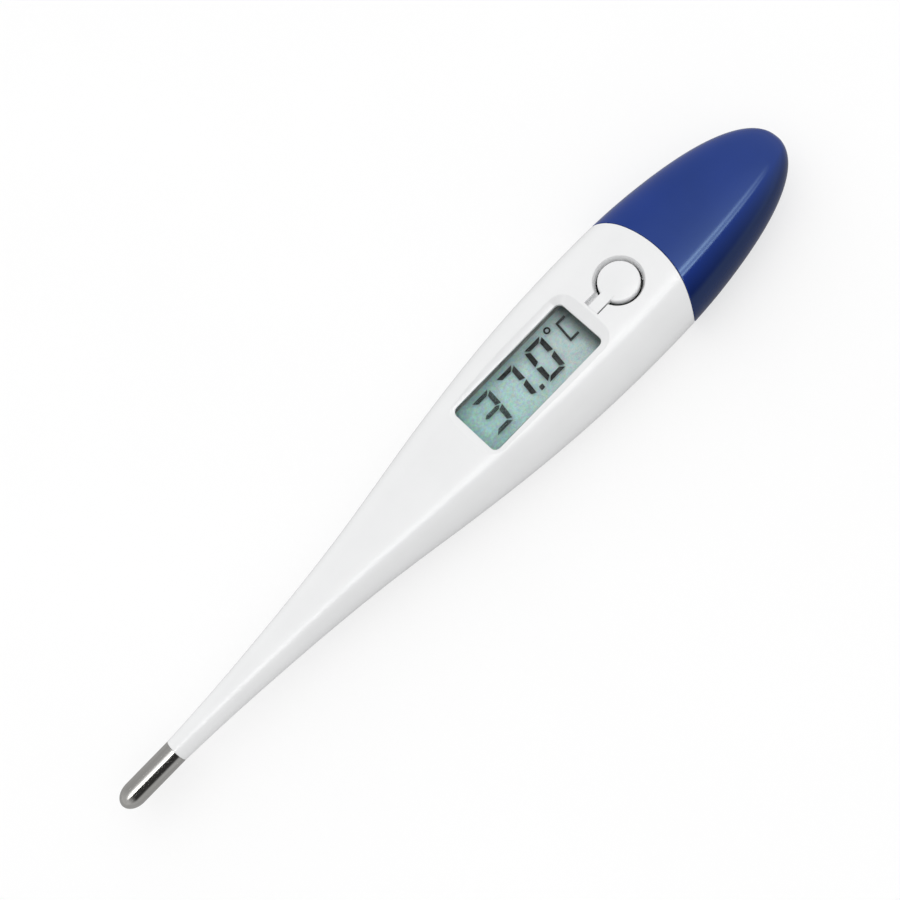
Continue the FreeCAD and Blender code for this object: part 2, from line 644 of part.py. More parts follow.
def contact_positive():
    """Bent strip from the top of the board over the top of the battery."""
    y0, y1 = POSITIVE_Y
    half = POSITIVE_HALF
    top = CHAMBER_TOP + CONTACT_GAP
    foot = box(RISER_X - FOOT_LENGTH, RISER_X + STRIP, y0, y1, BOARD_TOP, BOARD_TOP + STRIP)
    upright = box(RISER_X, RISER_X + STRIP, y0, y1, BOARD_TOP, top + STRIP)
    arm = box(RISER_X, BATTERY_X + half, y0, y1, top, top + STRIP)
    reach = box(BATTERY_X - half, BATTERY_X + half, -half, y1, top, top + STRIP)
    tip, base = DIMPLE_RADII
    dimple = Part.makeCone(tip, base, top - BATTERY_TOP, Vector(BATTERY_X, 0, BATTERY_TOP))
    return fuse([foot, upright, arm, reach, dimple])


def contact_negative():
    """Bent strip from under the board to the bottom of the battery."""
    y0, y1 = NEGATIVE_Y
    half = NEGATIVE_HALF
    low = BATTERY_LOW - STRIP
    foot = box(RISER_X - FOOT_LENGTH, RISER_X + STRIP, y0, y1, BOARD_LOW - STRIP, BOARD_LOW)
    upright = box(RISER_X, RISER_X + STRIP, y0, y1, low, BOARD_LOW)
    arm = box(RISER_X, BATTERY_X + half, y0, y1, low, BATTERY_LOW)
    reach = box(BATTERY_X - half, BATTERY_X + half, y0, half, low, BATTERY_LOW)
    return fuse([foot, upright, arm, reach])


# ---- carrier ------------------------------------------------------------
def carrier_sides():
    shallow = box(RAIL_START, RAIL_STEP, RAIL_IN, RAIL_OUT, SHALLOW[0], SHALLOW[1])
    deep = box(RAIL_STEP, RAIL_END, RAIL_IN, RAIL_OUT, DEEP[0], DEEP[1])
    tongue = box(GUIDE_START, RAIL_END, RAIL_OUT, TONGUE_OUT, -TONGUE_HALF, TONGUE_HALF)
    return both_sides(shallow) + both_sides(deep) + both_sides(tongue)


def carrier_bars():
    """Cross bars between board and display, and the stakes through the board."""
    shapes = []
    for start, end in (FRONT_BAR, REAR_BAR):
        shapes.append(box(start, end, -RAIL_IN, RAIL_IN, BOARD_TOP, LCD_LOW))
    for x, y in STAKES:
        shapes.append(post(x, y, STAKE_LOW, BOARD_TOP, STAKE_RADIUS))
        shapes.append(post(x, y, STAKE_LOW, BOARD_LOW, STAKE_HEAD))
    return shapes


def carrier_chamber():
    """Round battery chamber at the end, with webs to the two sides."""
    outside = CHAMBER_RADIUS + CHAMBER_WALL
    wall = post(BATTERY_X, 0, CHAMBER_FLOOR, CHAMBER_TOP, outside)
    floor = post(BATTERY_X, 0, CHAMBER_LOW, CHAMBER_FLOOR, outside)
    webs = both_sides(box(BOARD_END + BOARD_GAP, BATTERY_X, WEB_IN, RAIL_OUT,
                          CHAMBER_FLOOR, CHAMBER_TOP))
    solid = fuse([wall, floor] + webs)
    # Clear of the board's end, of the battery and of the lower contact.
    board_end = box(0, BOARD_END + BOARD_GAP, -RAIL_IN, RAIL_IN, CHAMBER_LOW, CHAMBER_TOP)
    well = post(BATTERY_X, 0, CHAMBER_FLOOR, CHAMBER_TOP, CHAMBER_RADIUS)
    y0, y1 = NEGATIVE_Y
    slot = box(BOARD_END, BATTERY_X + NEGATIVE_HALF + CONTACT_GAP, y0 - CONTACT_GAP, y1 + CONTACT_GAP,
               CHAMBER_FLOOR, BATTERY_LOW + CONTACT_GAP)
    return solid.cut(fuse([board_end, well, slot]))


def make_carrier():
    seat = post(BUZZER_X, 0, BUZZER_LOW + STRIP, BOARD_LOW, BUZZER_RING_OUT)
    seat = seat.cut(post(BUZZER_X, 0, BUZZER_LOW, BOARD_LOW, BUZZER_RING_IN))
    return fuse(carrier_sides() + carrier_bars() + [seat, carrier_chamber()])


# ---- battery cover ------------------------------------------------------
def mouth_bore():
    """The rounded rectangle that the carrier passes through."""
    height = MOUTH_HIGH - MOUTH_LOW
    wire = rounded_wire(0, (height, 2 * MOUTH_HALF_WIDTH, MOUTH_CORNER), 0)
    wire.rotate(Vector(0, 0, 0), Vector(0, 1, 0), 90)
    wire.translate(Vector(JOIN_CENTRE, 0, (MOUTH_HIGH + MOUTH_LOW) / 2))
    return Part.Face(wire).extrude(Vector(LENGTH - JOIN_CENTRE, 0, 0))


def make_cover():
    cap = form(lambda x: 0).cut(stem_side(JOIN_RADIUS + JOIN_GAP)).common(above_back())
    neck = inset_form(WALL + NECK_GAP).common(stem_side(JOIN_RADIUS + RIM_OVERLAP))
    neck = neck.cut(stem_side(JOIN_RADIUS - NECK_LENGTH))
    # The mouth narrows towards the join, so the neck is kept slim enough to pull out.
    ahead = inset_form(WALL + NECK_GAP)
    ahead.translate(Vector(-NECK_LENGTH, 0, 0))
    neck = neck.common(ahead)
    hollow = inset_form(CAP_WALL).common(mouth_bore())
    return fuse([cap, neck]).cut(hollow)


NODES = {
    "housing": make_housing,
    "window_lens": make_lens,
    "probe_tip": make_tip,
    "thermistor_bead": make_bead,
    "tip_potting": make_potting,
    "lead_wires": make_wires,
    "power_button": make_button,
    "switch_plunger": make_plunger,
    "switch_body": make_switch_body,
    "switch_legs": make_switch_legs,
    "carrier_frame": make_carrier,
    "circuit_board": make_board,
    "lcd_rear_polariser": lambda: lcd_plate(FILM_MARGIN, LEDGE_EDGE + FILM_MARGIN,
                                            LCD_LOW, REAR_GLASS_LOW),
    "lcd_rear_glass": lambda: lcd_plate(0, LEDGE_EDGE, REAR_GLASS_LOW, CELL_LOW),
    "lcd_seal": make_seal,
    "lcd_segments": make_segments,
    "lcd_front_glass": lambda: lcd_plate(0, -LCD_HALF_WIDTH, CELL_TOP, LCD_GLASS_TOP),
    "lcd_front_polariser": lambda: lcd_plate(FILM_MARGIN, FILM_MARGIN - LCD_HALF_WIDTH,
                                             LCD_GLASS_TOP, LCD_TOP),
    "zebra_strip": make_zebra,
    "chip_cover": make_chip_cover,
    "resistors": lambda: make_chips(RESISTOR_SIZE, RESISTOR_PLACES),
    "capacitors": lambda: make_chips(CAPACITOR_SIZE, CAPACITOR_PLACES),
    "buzzer_plate": make_buzzer_plate,
    "buzzer_ceramic": make_ceramic,
    "buzzer_leads": make_buzzer_leads,
    "solder_joints": make_solder,
    "battery_case": make_battery_case,
    "battery_gasket": make_gasket,
    "battery_negative_cap": make_negative_cap,
    "battery_contact_positive": contact_positive,
    "battery_contact_negative": contact_negative,
    "battery_cover": make_cover,
}

os.makedirs("parts", exist_ok=True)
for name, make in NODES.items():
    save(name, make())
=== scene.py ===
import json
import math

import bmesh
import bpy
import numpy as np
from mathutils import Matrix, Vector
from mathutils.bvhtree import BVHTree
from mathutils.interpolate import poly_3d_calc


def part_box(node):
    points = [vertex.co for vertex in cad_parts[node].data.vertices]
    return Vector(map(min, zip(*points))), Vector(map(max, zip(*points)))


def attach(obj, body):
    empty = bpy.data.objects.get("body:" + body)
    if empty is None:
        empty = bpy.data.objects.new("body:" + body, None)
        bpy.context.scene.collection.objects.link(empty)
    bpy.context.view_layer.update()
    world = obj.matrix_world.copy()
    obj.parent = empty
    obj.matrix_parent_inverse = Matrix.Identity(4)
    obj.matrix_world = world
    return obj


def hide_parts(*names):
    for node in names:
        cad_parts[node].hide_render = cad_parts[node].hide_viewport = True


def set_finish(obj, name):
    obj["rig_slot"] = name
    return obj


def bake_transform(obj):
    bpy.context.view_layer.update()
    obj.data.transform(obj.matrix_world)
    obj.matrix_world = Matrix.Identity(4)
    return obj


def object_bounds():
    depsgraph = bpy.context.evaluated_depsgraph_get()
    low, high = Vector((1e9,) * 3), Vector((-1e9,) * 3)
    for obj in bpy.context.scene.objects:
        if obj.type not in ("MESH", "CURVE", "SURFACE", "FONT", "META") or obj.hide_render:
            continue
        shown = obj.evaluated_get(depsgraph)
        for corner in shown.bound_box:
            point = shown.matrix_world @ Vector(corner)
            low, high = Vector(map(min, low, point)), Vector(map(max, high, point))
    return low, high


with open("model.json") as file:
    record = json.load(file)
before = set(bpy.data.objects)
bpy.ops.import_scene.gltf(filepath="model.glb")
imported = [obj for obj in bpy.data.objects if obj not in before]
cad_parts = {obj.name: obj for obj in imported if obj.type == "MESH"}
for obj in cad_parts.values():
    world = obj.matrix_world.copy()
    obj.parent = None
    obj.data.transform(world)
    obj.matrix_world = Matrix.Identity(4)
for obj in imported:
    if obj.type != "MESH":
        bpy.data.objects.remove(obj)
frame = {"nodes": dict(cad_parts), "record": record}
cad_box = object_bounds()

# Looks of a digital clinical thermometer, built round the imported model.
# Shapes are worked out in millimetres in the same working frame as the part's
# source: x is the distance from the probe's end, y runs across, z is the height
# above the long axis. to_row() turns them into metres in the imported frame.

MM = 0.001


def middle(node):
    """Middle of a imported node, in the row frame, in metres."""
    low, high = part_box(node)
    return (Vector(low) + Vector(high)) / 2


TIP_LOW, TIP_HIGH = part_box("probe_tip")
TIP_START = TIP_LOW[0]
AXIS_HEIGHT = middle("probe_tip")[2]


def to_row(points):
    return np.asarray(points, float) * MM + np.array([TIP_START, 0, AXIS_HEIGHT])


def from_row(x=0.0, z=0.0):
    """Working-frame x and z of a place given in the row frame."""
    return (x - TIP_START) / MM, (z - AXIS_HEIGHT) / MM


# ---- dimensions shared with the part's source, millimetres --------------
LENGTH = round((cad_box[1][0] - cad_box[0][0]) / MM, 3)
PROBE_END = (TIP_HIGH[0] - TIP_START) / MM
# Control sections: place, half width, height in front of and behind the axis,
# and how square the section is, from 0 for an ellipse to 1 for QUARTER's shape.
SECTIONS = (
    (10.4, 1.76, 1.76, 1.76, 0.0),
    (17.0, 1.95, 1.90, 1.90, 0.2),
    (30.0, 2.85, 2.50, 2.50, 0.6),
    (46.0, 4.45, 3.40, 3.50, 0.9),
    (58.5, 6.65, 4.20, 4.30, 1.0),
    (70.0, 8.35, 4.80, 5.00, 1.0),
    (83.0, 9.65, 5.20, 5.45, 1.0),
    (99.0, 9.87, 5.40, 5.60, 1.0),
    (108.0, 9.20, 5.10, 5.30, 0.95),
    (120.5, 6.97, 4.05, 3.80, 0.8),
    (LENGTH, 2.95, 1.95, 1.55, 0.5),
)
QUARTER = ((1.0, 0.0), (0.975, 0.33), (0.86, 0.68), (0.64, 0.96), (0.33, 1.0), (0.0, 1.0))
AROUND = 20                 # control points round one section
SPANS = len(SECTIONS) - 2   # spans of the curve along the form

WALL, CAP_WALL = 1.2, 1.0
STEM_WALL, STEM_WALL_GROWTH = 0.66, 0.0125  # at the probe, and its growth per millimetre
END_WALL = 1.0
NECK_GAP, JOIN_GAP, NECK_LENGTH = 0.08, 0.05, 3.0
JOIN_RADIUS, JOIN_CENTRE = 17.5, 85.4       # the arched join of housing and cover
RIM_OVERLAP = 1.0           # length of the neck inside the cover's rim
MOUTH_HALF_WIDTH, MOUTH_LOW, MOUTH_HIGH, MOUTH_CORNER = 7.3, -3.05, 3.35, 2.6
SPIGOT_RADIUS, SPIGOT_START, SPIGOT_BORE = 1.55, 8.2, 0.9

# Heights are above the long axis.
WINDOW_X = from_row(x=middle("window_lens")[0])[0]
# Rounded rectangles are length, width and corner radius; tilts are in degrees.
OPENING = (20.35, 8.3, 0.9)
OPENING_LIP = 0.04          # the bevel's foot stands back from the opening
SURROUND = (23.1, 10.85, 2.5)
SURROUND_SHIFT = 0.15
OPENING_EDGE, SURROUND_EDGE = 4.42, 4.98
OPENING_TILT, SURROUND_TILT = 0.75, 1.4
LENS_FLANGE = (22.4, 10.1, 1.8)
LENS_LOW, LENS_STEP, LENS_GAP = 3.3, 4.05, 0.05
POCKET_LOW = 2.4
BEVEL_RISE = 1.5            # how far the bevel is carried on, as a multiple of its height

BUTTON_X = from_row(x=middle("switch_plunger")[0])[0]
BUTTON_RADIUS, BUTTON_TOP, BUTTON_LOW, BUTTON_CROWN = 2.85, 5.45, 3.95, 0.25
BUTTON_EDGE = 0.25
HOLE_RADIUS = 3.1
CHAMFER_START, CHAMFER_SLOPE, HOLE_FLARE = 4.25, 0.4, 1.5
TONGUE_ROOT, TONGUE_SIDES, TONGUE_THICKNESS = 91.1, (-1.05, 0.55), 0.85
SLOT_NARROW, SLOT_WIDE, SLOT_SLIT, SLOT_FLOOR = 0.2, 0.7, 0.15, 4.45
POST_RADIUS, POST_LOW = 1.0, 3.27

TIP_RADIUS, TIP_NOSE, TIP_WALL = 1.75, 2.4, 0.18
GUIDE_START, GUIDE_END, GUIDE_IN, GUIDE_LOW, GUIDE_HIGH = 70.0, 96.5, 6.15, 0.5, 1.3

# Two sensor leads, with waves of slack and a spread to the pads.
WIRE_RADIUS, WIRE_BEND = 0.16, 2.0
LEAD_START, LEAD_Y = 4.4, 0.25
SLACK_START, SLACK_PITCH, SLACK_WAVES, SLACK_SWING = 38.0, 5.0, 4, 0.9
SLACK_END = SLACK_START + SLACK_PITCH * SLACK_WAVES
SPREAD_START, SPREAD_END, PAD_X, PAD_Y = 62.0, 65.0, 66.3, 1.2

# ---- fineness and softened edges of the rebuilt meshes ------------------
COLUMNS = 200               # faces round a section
ROWS_PER_SPAN = 18
EDGE = 0.12                 # rounding of the rims
EDGE_STEPS, CORNER_STEPS = 4, 10
CROWN_STEPS, SHOULDER_STEPS = 12, 6
TONGUE_ROWS, TONGUE_ACROSS = 24, 8
NOSE_STEPS, SLEEVE_STEPS = 24, 16
TURNED_SIDES, HOLE_SIDES, WIRE_SIDES = 128, 96, 16
WIRE_STEP, WIRE_RUN = 0.35, 1.5             # spacing of rings in bends and on straights
BISECTIONS = 40             # halvings that find a place along the form
WELD, SLIVER = 1e-8, 1e-9   # metres

# Cutting tools reach past the form by REACH. The rails are cut from a blank that
# starts RAIL_SPAN spans along the form and is about as long as that, and the cover
# and its hollow are about COVER_SPANS spans long. The passage runs past the hollow.
REACH = 40.0
RAIL_SPAN, RAIL_BLANK_END = 3, 100.0
COVER_SPANS, HOLLOW_START = 3, 90.0
PASSAGE = (85.0, LENGTH + 5)


# ---- the outer form -----------------------------------------------------
def section_outline(squareness):
    """Control points of one section of unit half width and unit height."""
    points = []
    steps = len(QUARTER) - 1
    for index in range(AROUND):
        quarter, step = divmod(index, steps)
        angle = 2 * math.pi * index / AROUND
        y, z = QUARTER[step if quarter % 2 == 0 else steps - step]
        y = y if quarter in (0, 3) else -y
        z = z if quarter in (0, 1) else -z
        points.append((math.cos(angle) * (1 - squareness) + y * squareness,
                       math.sin(angle) * (1 - squareness) + z * squareness))
    width = (points[-1][0] + 4 * points[0][0] + points[1][0]) / 6
    height = (points[steps - 1][1] + 4 * points[steps][1] + points[steps + 1][1]) / 6
    return np.array([(y / width, z / height) for y, z in points])


def column_weights():
    """Share of each control point in each column's curve along the form."""
    weights = np.zeros((COLUMNS, AROUND))
    for column in range(COLUMNS):
        start, t = divmod(column * AROUND / COLUMNS, 1)
        shares = ((1 - t) ** 3, 3 * t ** 3 - 6 * t ** 2 + 4,
                  -3 * t ** 3 + 3 * t ** 2 + 3 * t + 1, t ** 3)
        for offset, share in enumerate(shares):
            weights[column, (int(start) + offset - 1) % AROUND] += share / 6
    return weights


def row_weights(u):
    """Share of each control row at each place u along the form."""
    knots = [0] * 3 + list(range(SPANS + 1)) + [SPANS] * 3
    u = np.clip(u, 0, SPANS - 1e-9)
    level = [((a <= u) & (u < b)).astype(float) for a, b in zip(knots, knots[1:])]
    for degree in (1, 2, 3):
        following = []
        for i in range(len(level) - 1):
            total = 0
            if knots[i + degree] > knots[i]:
                total = (u - knots[i]) / (knots[i + degree] - knots[i]) * level[i]
            if knots[i + degree + 1] > knots[i + 1]:
                span = knots[i + degree + 1] - knots[i + 1]
                total = total + (knots[i + degree + 1] - u) / span * level[i + 1]
            following.append(total)
        level = following
    return np.stack([part + 0 * u for part in level], -1)


class Form:
    """The outer form shrunk by inset(x), as columns of points along it."""

    def __init__(self, inset):
        rows = []
        for x, half_width, front, back, squareness in SECTIONS:
            t = inset(x)
            outline = section_outline(squareness)
            height = np.where(outline[:, 1] > 0, front, back) - t
            end = x - t if x == LENGTH else x
            rows.append(np.column_stack([np.full(AROUND, end), outline[:, 0] * (half_width - t),
                                         outline[:, 1] * height]))
        rows.append(np.tile([LENGTH - inset(LENGTH), 0, 0], (AROUND, 1)))
        self.columns = np.einsum("ca,iax->cix", column_weights(), np.array(rows))

    def ring(self, u):
        """One ring of points, with its own u for each column."""
        return np.einsum("ci,cix->cx", row_weights(u), self.columns)

    def where(self, beyond):
        """The u of each column at which beyond(ring) turns positive."""
        low, high = np.zeros(COLUMNS), np.full(COLUMNS, float(SPANS))
        for _ in range(BISECTIONS):
            half = (low + high) / 2
            past = beyond(self.ring(half)) > 0
            low, high = np.where(past, low, half), np.where(past, half, high)
        return (low + high) / 2

    def at_arch(self, radius):
        """The u of each column on an arch of this radius about the join's centre."""
        return self.where(lambda p: p[:, 0] - JOIN_CENTRE
                          - np.sqrt(np.maximum(radius ** 2 - p[:, 1] ** 2, 0)))

    def at_plane(self, x):
        return self.where(lambda p: p[:, 0] - x)


def rounding():
    """Pairs (inset, distance from the rim) along a rounded edge."""
    turns = [math.pi / 2 * step / EDGE_STEPS for step in range(EDGE_STEPS + 1)]
    return [(EDGE * (1 - math.cos(a)), EDGE * (1 - math.sin(a))) for a in turns]


def arched_edge(radius, side):
    """Rings of the form rounded over towards the arch; side is -1 or 1."""
    rings = []
    for inset, back in rounding():
        form = Form(lambda x: inset)
        rings.append(form.ring(form.at_arch(radius + side * back)))
    return rings


def stretch(form, u0, u1, steps, include_last=True):
    """Rings from u0 to u1, both given for each column."""
    last = steps + 1 if include_last else steps
    return [form.ring(u0 + (u1 - u0) * step / steps) for step in range(last)]


def full_turn(steps):
    """Evenly spaced angles round a circle."""
    return 2 * math.pi * np.arange(steps) / steps


def circle_ring(x, radius):
    angle = full_turn(COLUMNS)
    return np.column_stack([np.full(COLUMNS, x), radius * np.cos(angle), radius * np.sin(angle)])


# ---- mesh helpers -------------------------------------------------------
def new_object(name, vertices, faces):
    """A mesh object from working-frame points, with clean outward faces."""
    mesh = bpy.data.meshes.new(name)
    mesh.from_pydata([tuple(p) for p in to_row(vertices)], [], faces)
    work = bmesh.new()
    work.from_mesh(mesh)
    bmesh.ops.remove_doubles(work, verts=work.verts, dist=WELD)
    bmesh.ops.dissolve_degenerate(work, dist=SLIVER, edges=work.edges)
    bmesh.ops.recalc_face_normals(work, faces=work.faces)
    work.to_mesh(mesh)
    work.free()
    shape = bpy.data.objects.new(name, mesh)
    bpy.context.scene.collection.objects.link(shape)
    return shape


def band_faces(rings, count, closed_loop=False):
    """Quads between successive rings of count points."""
    faces = []
    last = rings if closed_loop else rings - 1
    for row in range(last):
        upper = (row + 1) % rings * count
        for i in range(count):
            j = (i + 1) % count
            faces.append((row * count + i, row * count + j, upper + j, upper + i))
    return faces


def wall_faces(base, count):
    """Upright strips that close a ring which mirrors front to back."""
    faces = []
    for i in range(count // 2):
        corners = [i, i + 1, (count - i - 1) % count, (count - i) % count]
        faces.append([base + c for c in dict.fromkeys(corners)])
    return faces


def solid_of_rings(name, rings, close_end=True):
    """A closed solid from rings; the ends are closed by upright strips."""
    count = len(rings[0])
    faces = band_faces(len(rings), count) + wall_faces(0, count)
    if close_end:
        faces += wall_faces((len(rings) - 1) * count, count)
    return new_object(name, np.concatenate(rings), faces)


def prism(name, rings):
    """A closed solid between outlines, with flat ends."""
    count = len(rings[0])
    last = (len(rings) - 1) * count
    faces = band_faces(len(rings), count)
    faces += [tuple(range(count))[::-1], tuple(range(last, last + count))]
    return new_object(name, np.concatenate(rings), faces)


def block(name, x, y, z):
    """A closed solid between pairs of limits."""
    corners = np.array([(x[i], y[j], 0) for i, j in ((0, 0), (1, 0), (1, 1), (0, 1))], float)
    return prism(name, [corners + (0, 0, z[0]), corners + (0, 0, z[1])])


def lathe(name, centre_x, profile, steps=TURNED_SIDES, along=False):
    """Turn (radius, height) points about an upright axis, or about the long axis."""
    cos, sin = np.cos(full_turn(steps)), np.sin(full_turn(steps))
    rings = []
    for radius, height in profile:
        flat = np.full(steps, float(height))
        if along:
            rings.append(np.column_stack([flat, radius * cos, radius * sin]))
        else:
            rings.append(np.column_stack([centre_x + radius * cos, radius * sin, flat]))
    return new_object(name, np.concatenate(rings), band_faces(len(rings), steps))


def boolean(shape, tool, operation="DIFFERENCE"):
    """Cut, join or intersect shape with tool, then throw the tool away."""
    change = shape.modifiers.new("boolean", "BOOLEAN")
    change.operation = operation
    change.solver = "EXACT"
    change.object = tool
    bpy.context.view_layer.update()
    result = shape.evaluated_get(bpy.context.evaluated_depsgraph_get())
    mesh = bpy.data.meshes.new_from_object(result)
    mesh.name = shape.name
    shape.modifiers.clear()
    shape.data = mesh
    bpy.data.objects.remove(tool)


def rounded_outline(size, tilt=0.0, x=0.0, z=0.0):
    """Points of a rounded rectangle lying flat, tilted about the y axis."""
    length, width, radius = size
    points = []
    for sx, sy, start in ((1, 1, 0), (-1, 1, 90), (-1, -1, 180), (1, -1, 270)):
        for step in range(CORNER_STEPS + 1):
            a = math.radians(start + 90 * step / CORNER_STEPS)
            points.append((sx * (length / 2 - radius) + radius * math.cos(a),
                           sy * (width / 2 - radius) + radius * math.sin(a)))
    slope = math.radians(tilt)
    return np.array([(x + px * math.cos(slope), py, z + px * math.sin(slope)) for px, py in points])


def surface_tree(shape):
    """Search tree and smooth normals of a clean, uncut surface."""
    mesh = shape.data
    tree = BVHTree.FromPolygons([v.co for v in mesh.vertices],
                                [tuple(p.vertices) for p in mesh.polygons])
    return tree, [v.normal.copy() for v in mesh.vertices], mesh


def surface_normal(place, tree, normals, mesh):
    """The clean surface's smooth normal and distance at its nearest point."""
    nearest, _, index, distance = tree.find_nearest(place)
    corners = mesh.polygons[index].vertices
    weights = poly_3d_calc([mesh.vertices[c].co for c in corners], nearest)
    normal = sum((normals[c] * w for c, w in zip(corners, weights)), Vector())
    return normal.normalized(), distance


# A face belongs to the clean surface if it lies this near, in metres, and its
# normal agrees with the surface's, by their dot product.
SURFACE_TOLERANCE, AGREEMENT = 4e-6, 0.97
CREASE = math.radians(24)


def smooth_like(shape, reference):
    """Smooth shading in which cut faces keep the clean surface's normals."""
    mesh = shape.data
    on_surface = np.zeros(len(mesh.polygons), bool)
    for face in mesh.polygons:
        face.use_smooth = True
        normal, distance = surface_normal(face.center, *reference)
        near = distance < SURFACE_TOLERANCE
        on_surface[face.index] = near and normal.dot(face.normal) > AGREEMENT
    work = bmesh.new()
    work.from_mesh(mesh)
    for edge in work.edges:
        if len(edge.link_faces) == 2:
            first, second = (on_surface[f.index] for f in edge.link_faces)
            edge.smooth = (first == second) and (first or edge.calc_face_angle() < CREASE)
    work.to_mesh(mesh)
    work.free()
    normals = [(0.0, 0.0, 0.0)] * len(mesh.loops)
    known = {}
    for face in mesh.polygons:
        if not on_surface[face.index]:
            continue
        for loop in face.loop_indices:
            corner = mesh.loops[loop].vertex_index
            if corner not in known:
                known[corner] = tuple(surface_normal(mesh.vertices[corner].co, *reference)[0])
            normals[loop] = known[corner]
    mesh.normals_split_custom_set(normals)


def smooth_by_angle(shape):
    """Smooth shading with creases kept sharp."""
    work = bmesh.new()
    work.from_mesh(shape.data)
    for edge in work.edges:
        edge.smooth = len(edge.link_faces) != 2 or edge.calc_face_angle() < CREASE
    for face in work.faces:
        face.smooth = True
    work.to_mesh(shape.data)
    work.free()


# ---- housing ------------------------------------------------------------
def wall_at(x):
    """Thickness of the housing's wall: thin in the stem, full in the body."""
    return min(WALL, STEM_WALL + STEM_WALL_GROWTH * (x - PROBE_END))


def outer_surface():
    """The whole clean outer surface, used as a reference for shading."""
    form = Form(lambda x: 0)
    zero = np.zeros(COLUMNS)
    rings = stretch(form, zero, zero + SPANS, ROWS_PER_SPAN * SPANS)
    shape = new_object("reference_surface", np.concatenate(rings), band_faces(len(rings), COLUMNS))
    tree = surface_tree(shape)
    bpy.data.objects.remove(shape)
    return tree


def front_edge():
    """Rings of the stem's front end, rounded over to its flat end."""
    rings = []
    for inset, back in reversed(rounding()):
        form = Form(lambda x: inset)
        rings.append(form.ring(form.at_plane(PROBE_END + back)))
    return rings


def housing_rings():
    """Rings from the bore in the spigot, over the outside and back inside."""
    outer, inner = Form(lambda x: 0), Form(wall_at)
    cavity = PROBE_END + END_WALL
    rings = [circle_ring(x, SPIGOT_BORE) for x in (cavity, SPIGOT_START)]
    rings += [circle_ring(x, SPIGOT_RADIUS) for x in (SPIGOT_START, PROBE_END)]
    rings += front_edge()
    rows = ROWS_PER_SPAN * (SPANS - 1)
    start, end = outer.at_plane(PROBE_END + EDGE), outer.at_arch(JOIN_RADIUS - EDGE)
    rings += stretch(outer, start, end, rows)[1:-1]
    rings += arched_edge(JOIN_RADIUS, -1)
    rings += stretch(inner, inner.at_arch(JOIN_RADIUS), inner.at_plane(cavity), rows // 2)
    return rings


def guide_rails():
    """Two ledges on each side that the carrier's tongues run between."""
    core = Form(lambda x: WALL / 2)
    zero = np.zeros(COLUMNS)
    blank = stretch(core, zero + RAIL_SPAN, core.at_plane(RAIL_BLANK_END), ROWS_PER_SPAN * RAIL_SPAN)
    keep = solid_of_rings("rails", blank)
    rails = []
    for side in (1, -1):
        y = sorted((side * GUIDE_IN, side * REACH))
        for z in ((GUIDE_LOW, GUIDE_HIGH), (-GUIDE_HIGH, -GUIDE_LOW)):
            rails.append(block("rail", (GUIDE_START, GUIDE_END), y, z))
    boolean(keep, join(rails), "INTERSECT")
    return keep


def join(shapes):
    """One object from several that don't touch."""
    work = bmesh.new()
    for shape in shapes:
        work.from_mesh(shape.data)
    work.to_mesh(shapes[0].data)
    work.free()
    for shape in shapes[1:]:
        bpy.data.objects.remove(shape)
    return shapes[0]


def window_cuts():
    """The lens's pocket, the bevelled surround and the opening."""
    sizes = [inner + (outer - inner) * BEVEL_RISE for inner, outer in zip(OPENING, SURROUND)]
    height = OPENING_EDGE + (SURROUND_EDGE - OPENING_EDGE) * BEVEL_RISE
    tilt = OPENING_TILT + (SURROUND_TILT - OPENING_TILT) * BEVEL_RISE
    high_x = WINDOW_X + SURROUND_SHIFT * BEVEL_RISE
    length, width, radius = OPENING
    foot = (length + 2 * OPENING_LIP, width + 2 * OPENING_LIP, radius + OPENING_LIP)
    bevel = prism("bevel", [rounded_outline(foot, OPENING_TILT, WINDOW_X, OPENING_EDGE),
                            rounded_outline(sizes, tilt, high_x, height)])
    opening = prism("opening", [rounded_outline(OPENING, 0, WINDOW_X, z)
                                for z in (LENS_LOW, SURROUND_EDGE)])
    length, width, radius = LENS_FLANGE
    roomy = (length + 2 * LENS_GAP, width + 2 * LENS_GAP, radius)
    pocket = prism("pocket", [rounded_outline(roomy, 0, WINDOW_X, z)
                              for z in (POCKET_LOW, LENS_STEP)])
    return [pocket, bevel, opening]


def button_cuts():
    """The button's hole with its chamfer, and the slots beside the tongue."""
    top = CHAMFER_START + HOLE_FLARE
    profile = ((0, POST_LOW), (HOLE_RADIUS, POST_LOW), (HOLE_RADIUS, CHAMFER_START),
               (HOLE_RADIUS + CHAMFER_SLOPE * HOLE_FLARE, top), (0, top))
    hole = lathe("hole", BUTTON_X, profile, HOLE_SIDES)
    near, far = TONGUE_SIDES
    along = (TONGUE_ROOT, BUTTON_X)
    slot = block("slot", along, (near - SLOT_NARROW, far + SLOT_SLIT), (POST_LOW, REACH))
    shallow = block("shallow", along, (far, far + SLOT_WIDE), (SLOT_FLOOR, REACH))
    return [hole, slot, shallow]


def below_back():
    """Everything below the flat of the back."""
    x = (-REACH, LENGTH + REACH)
    return block("below", x, (-REACH, REACH), (-REACH, -AXIS_HEIGHT / MM))


def finish_piece(piece, node, slot, body=None):
    """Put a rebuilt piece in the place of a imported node."""
    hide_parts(node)
    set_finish(piece, slot)
    if body:
        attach(piece, body)
    return piece


def housing_shell(reference):
    """The white moulding, with its window, button hole and guide rails."""
    rings = housing_rings()
    shell = new_object("housing_shell", np.concatenate(rings), band_faces(len(rings), COLUMNS, True))
    boolean(shell, guide_rails(), "UNION")
    for tool in [below_back()] + window_cuts() + button_cuts():
        boolean(shell, tool)
    smooth_like(shell, reference)
    return finish_piece(shell, "housing", "white_plastic", "case")


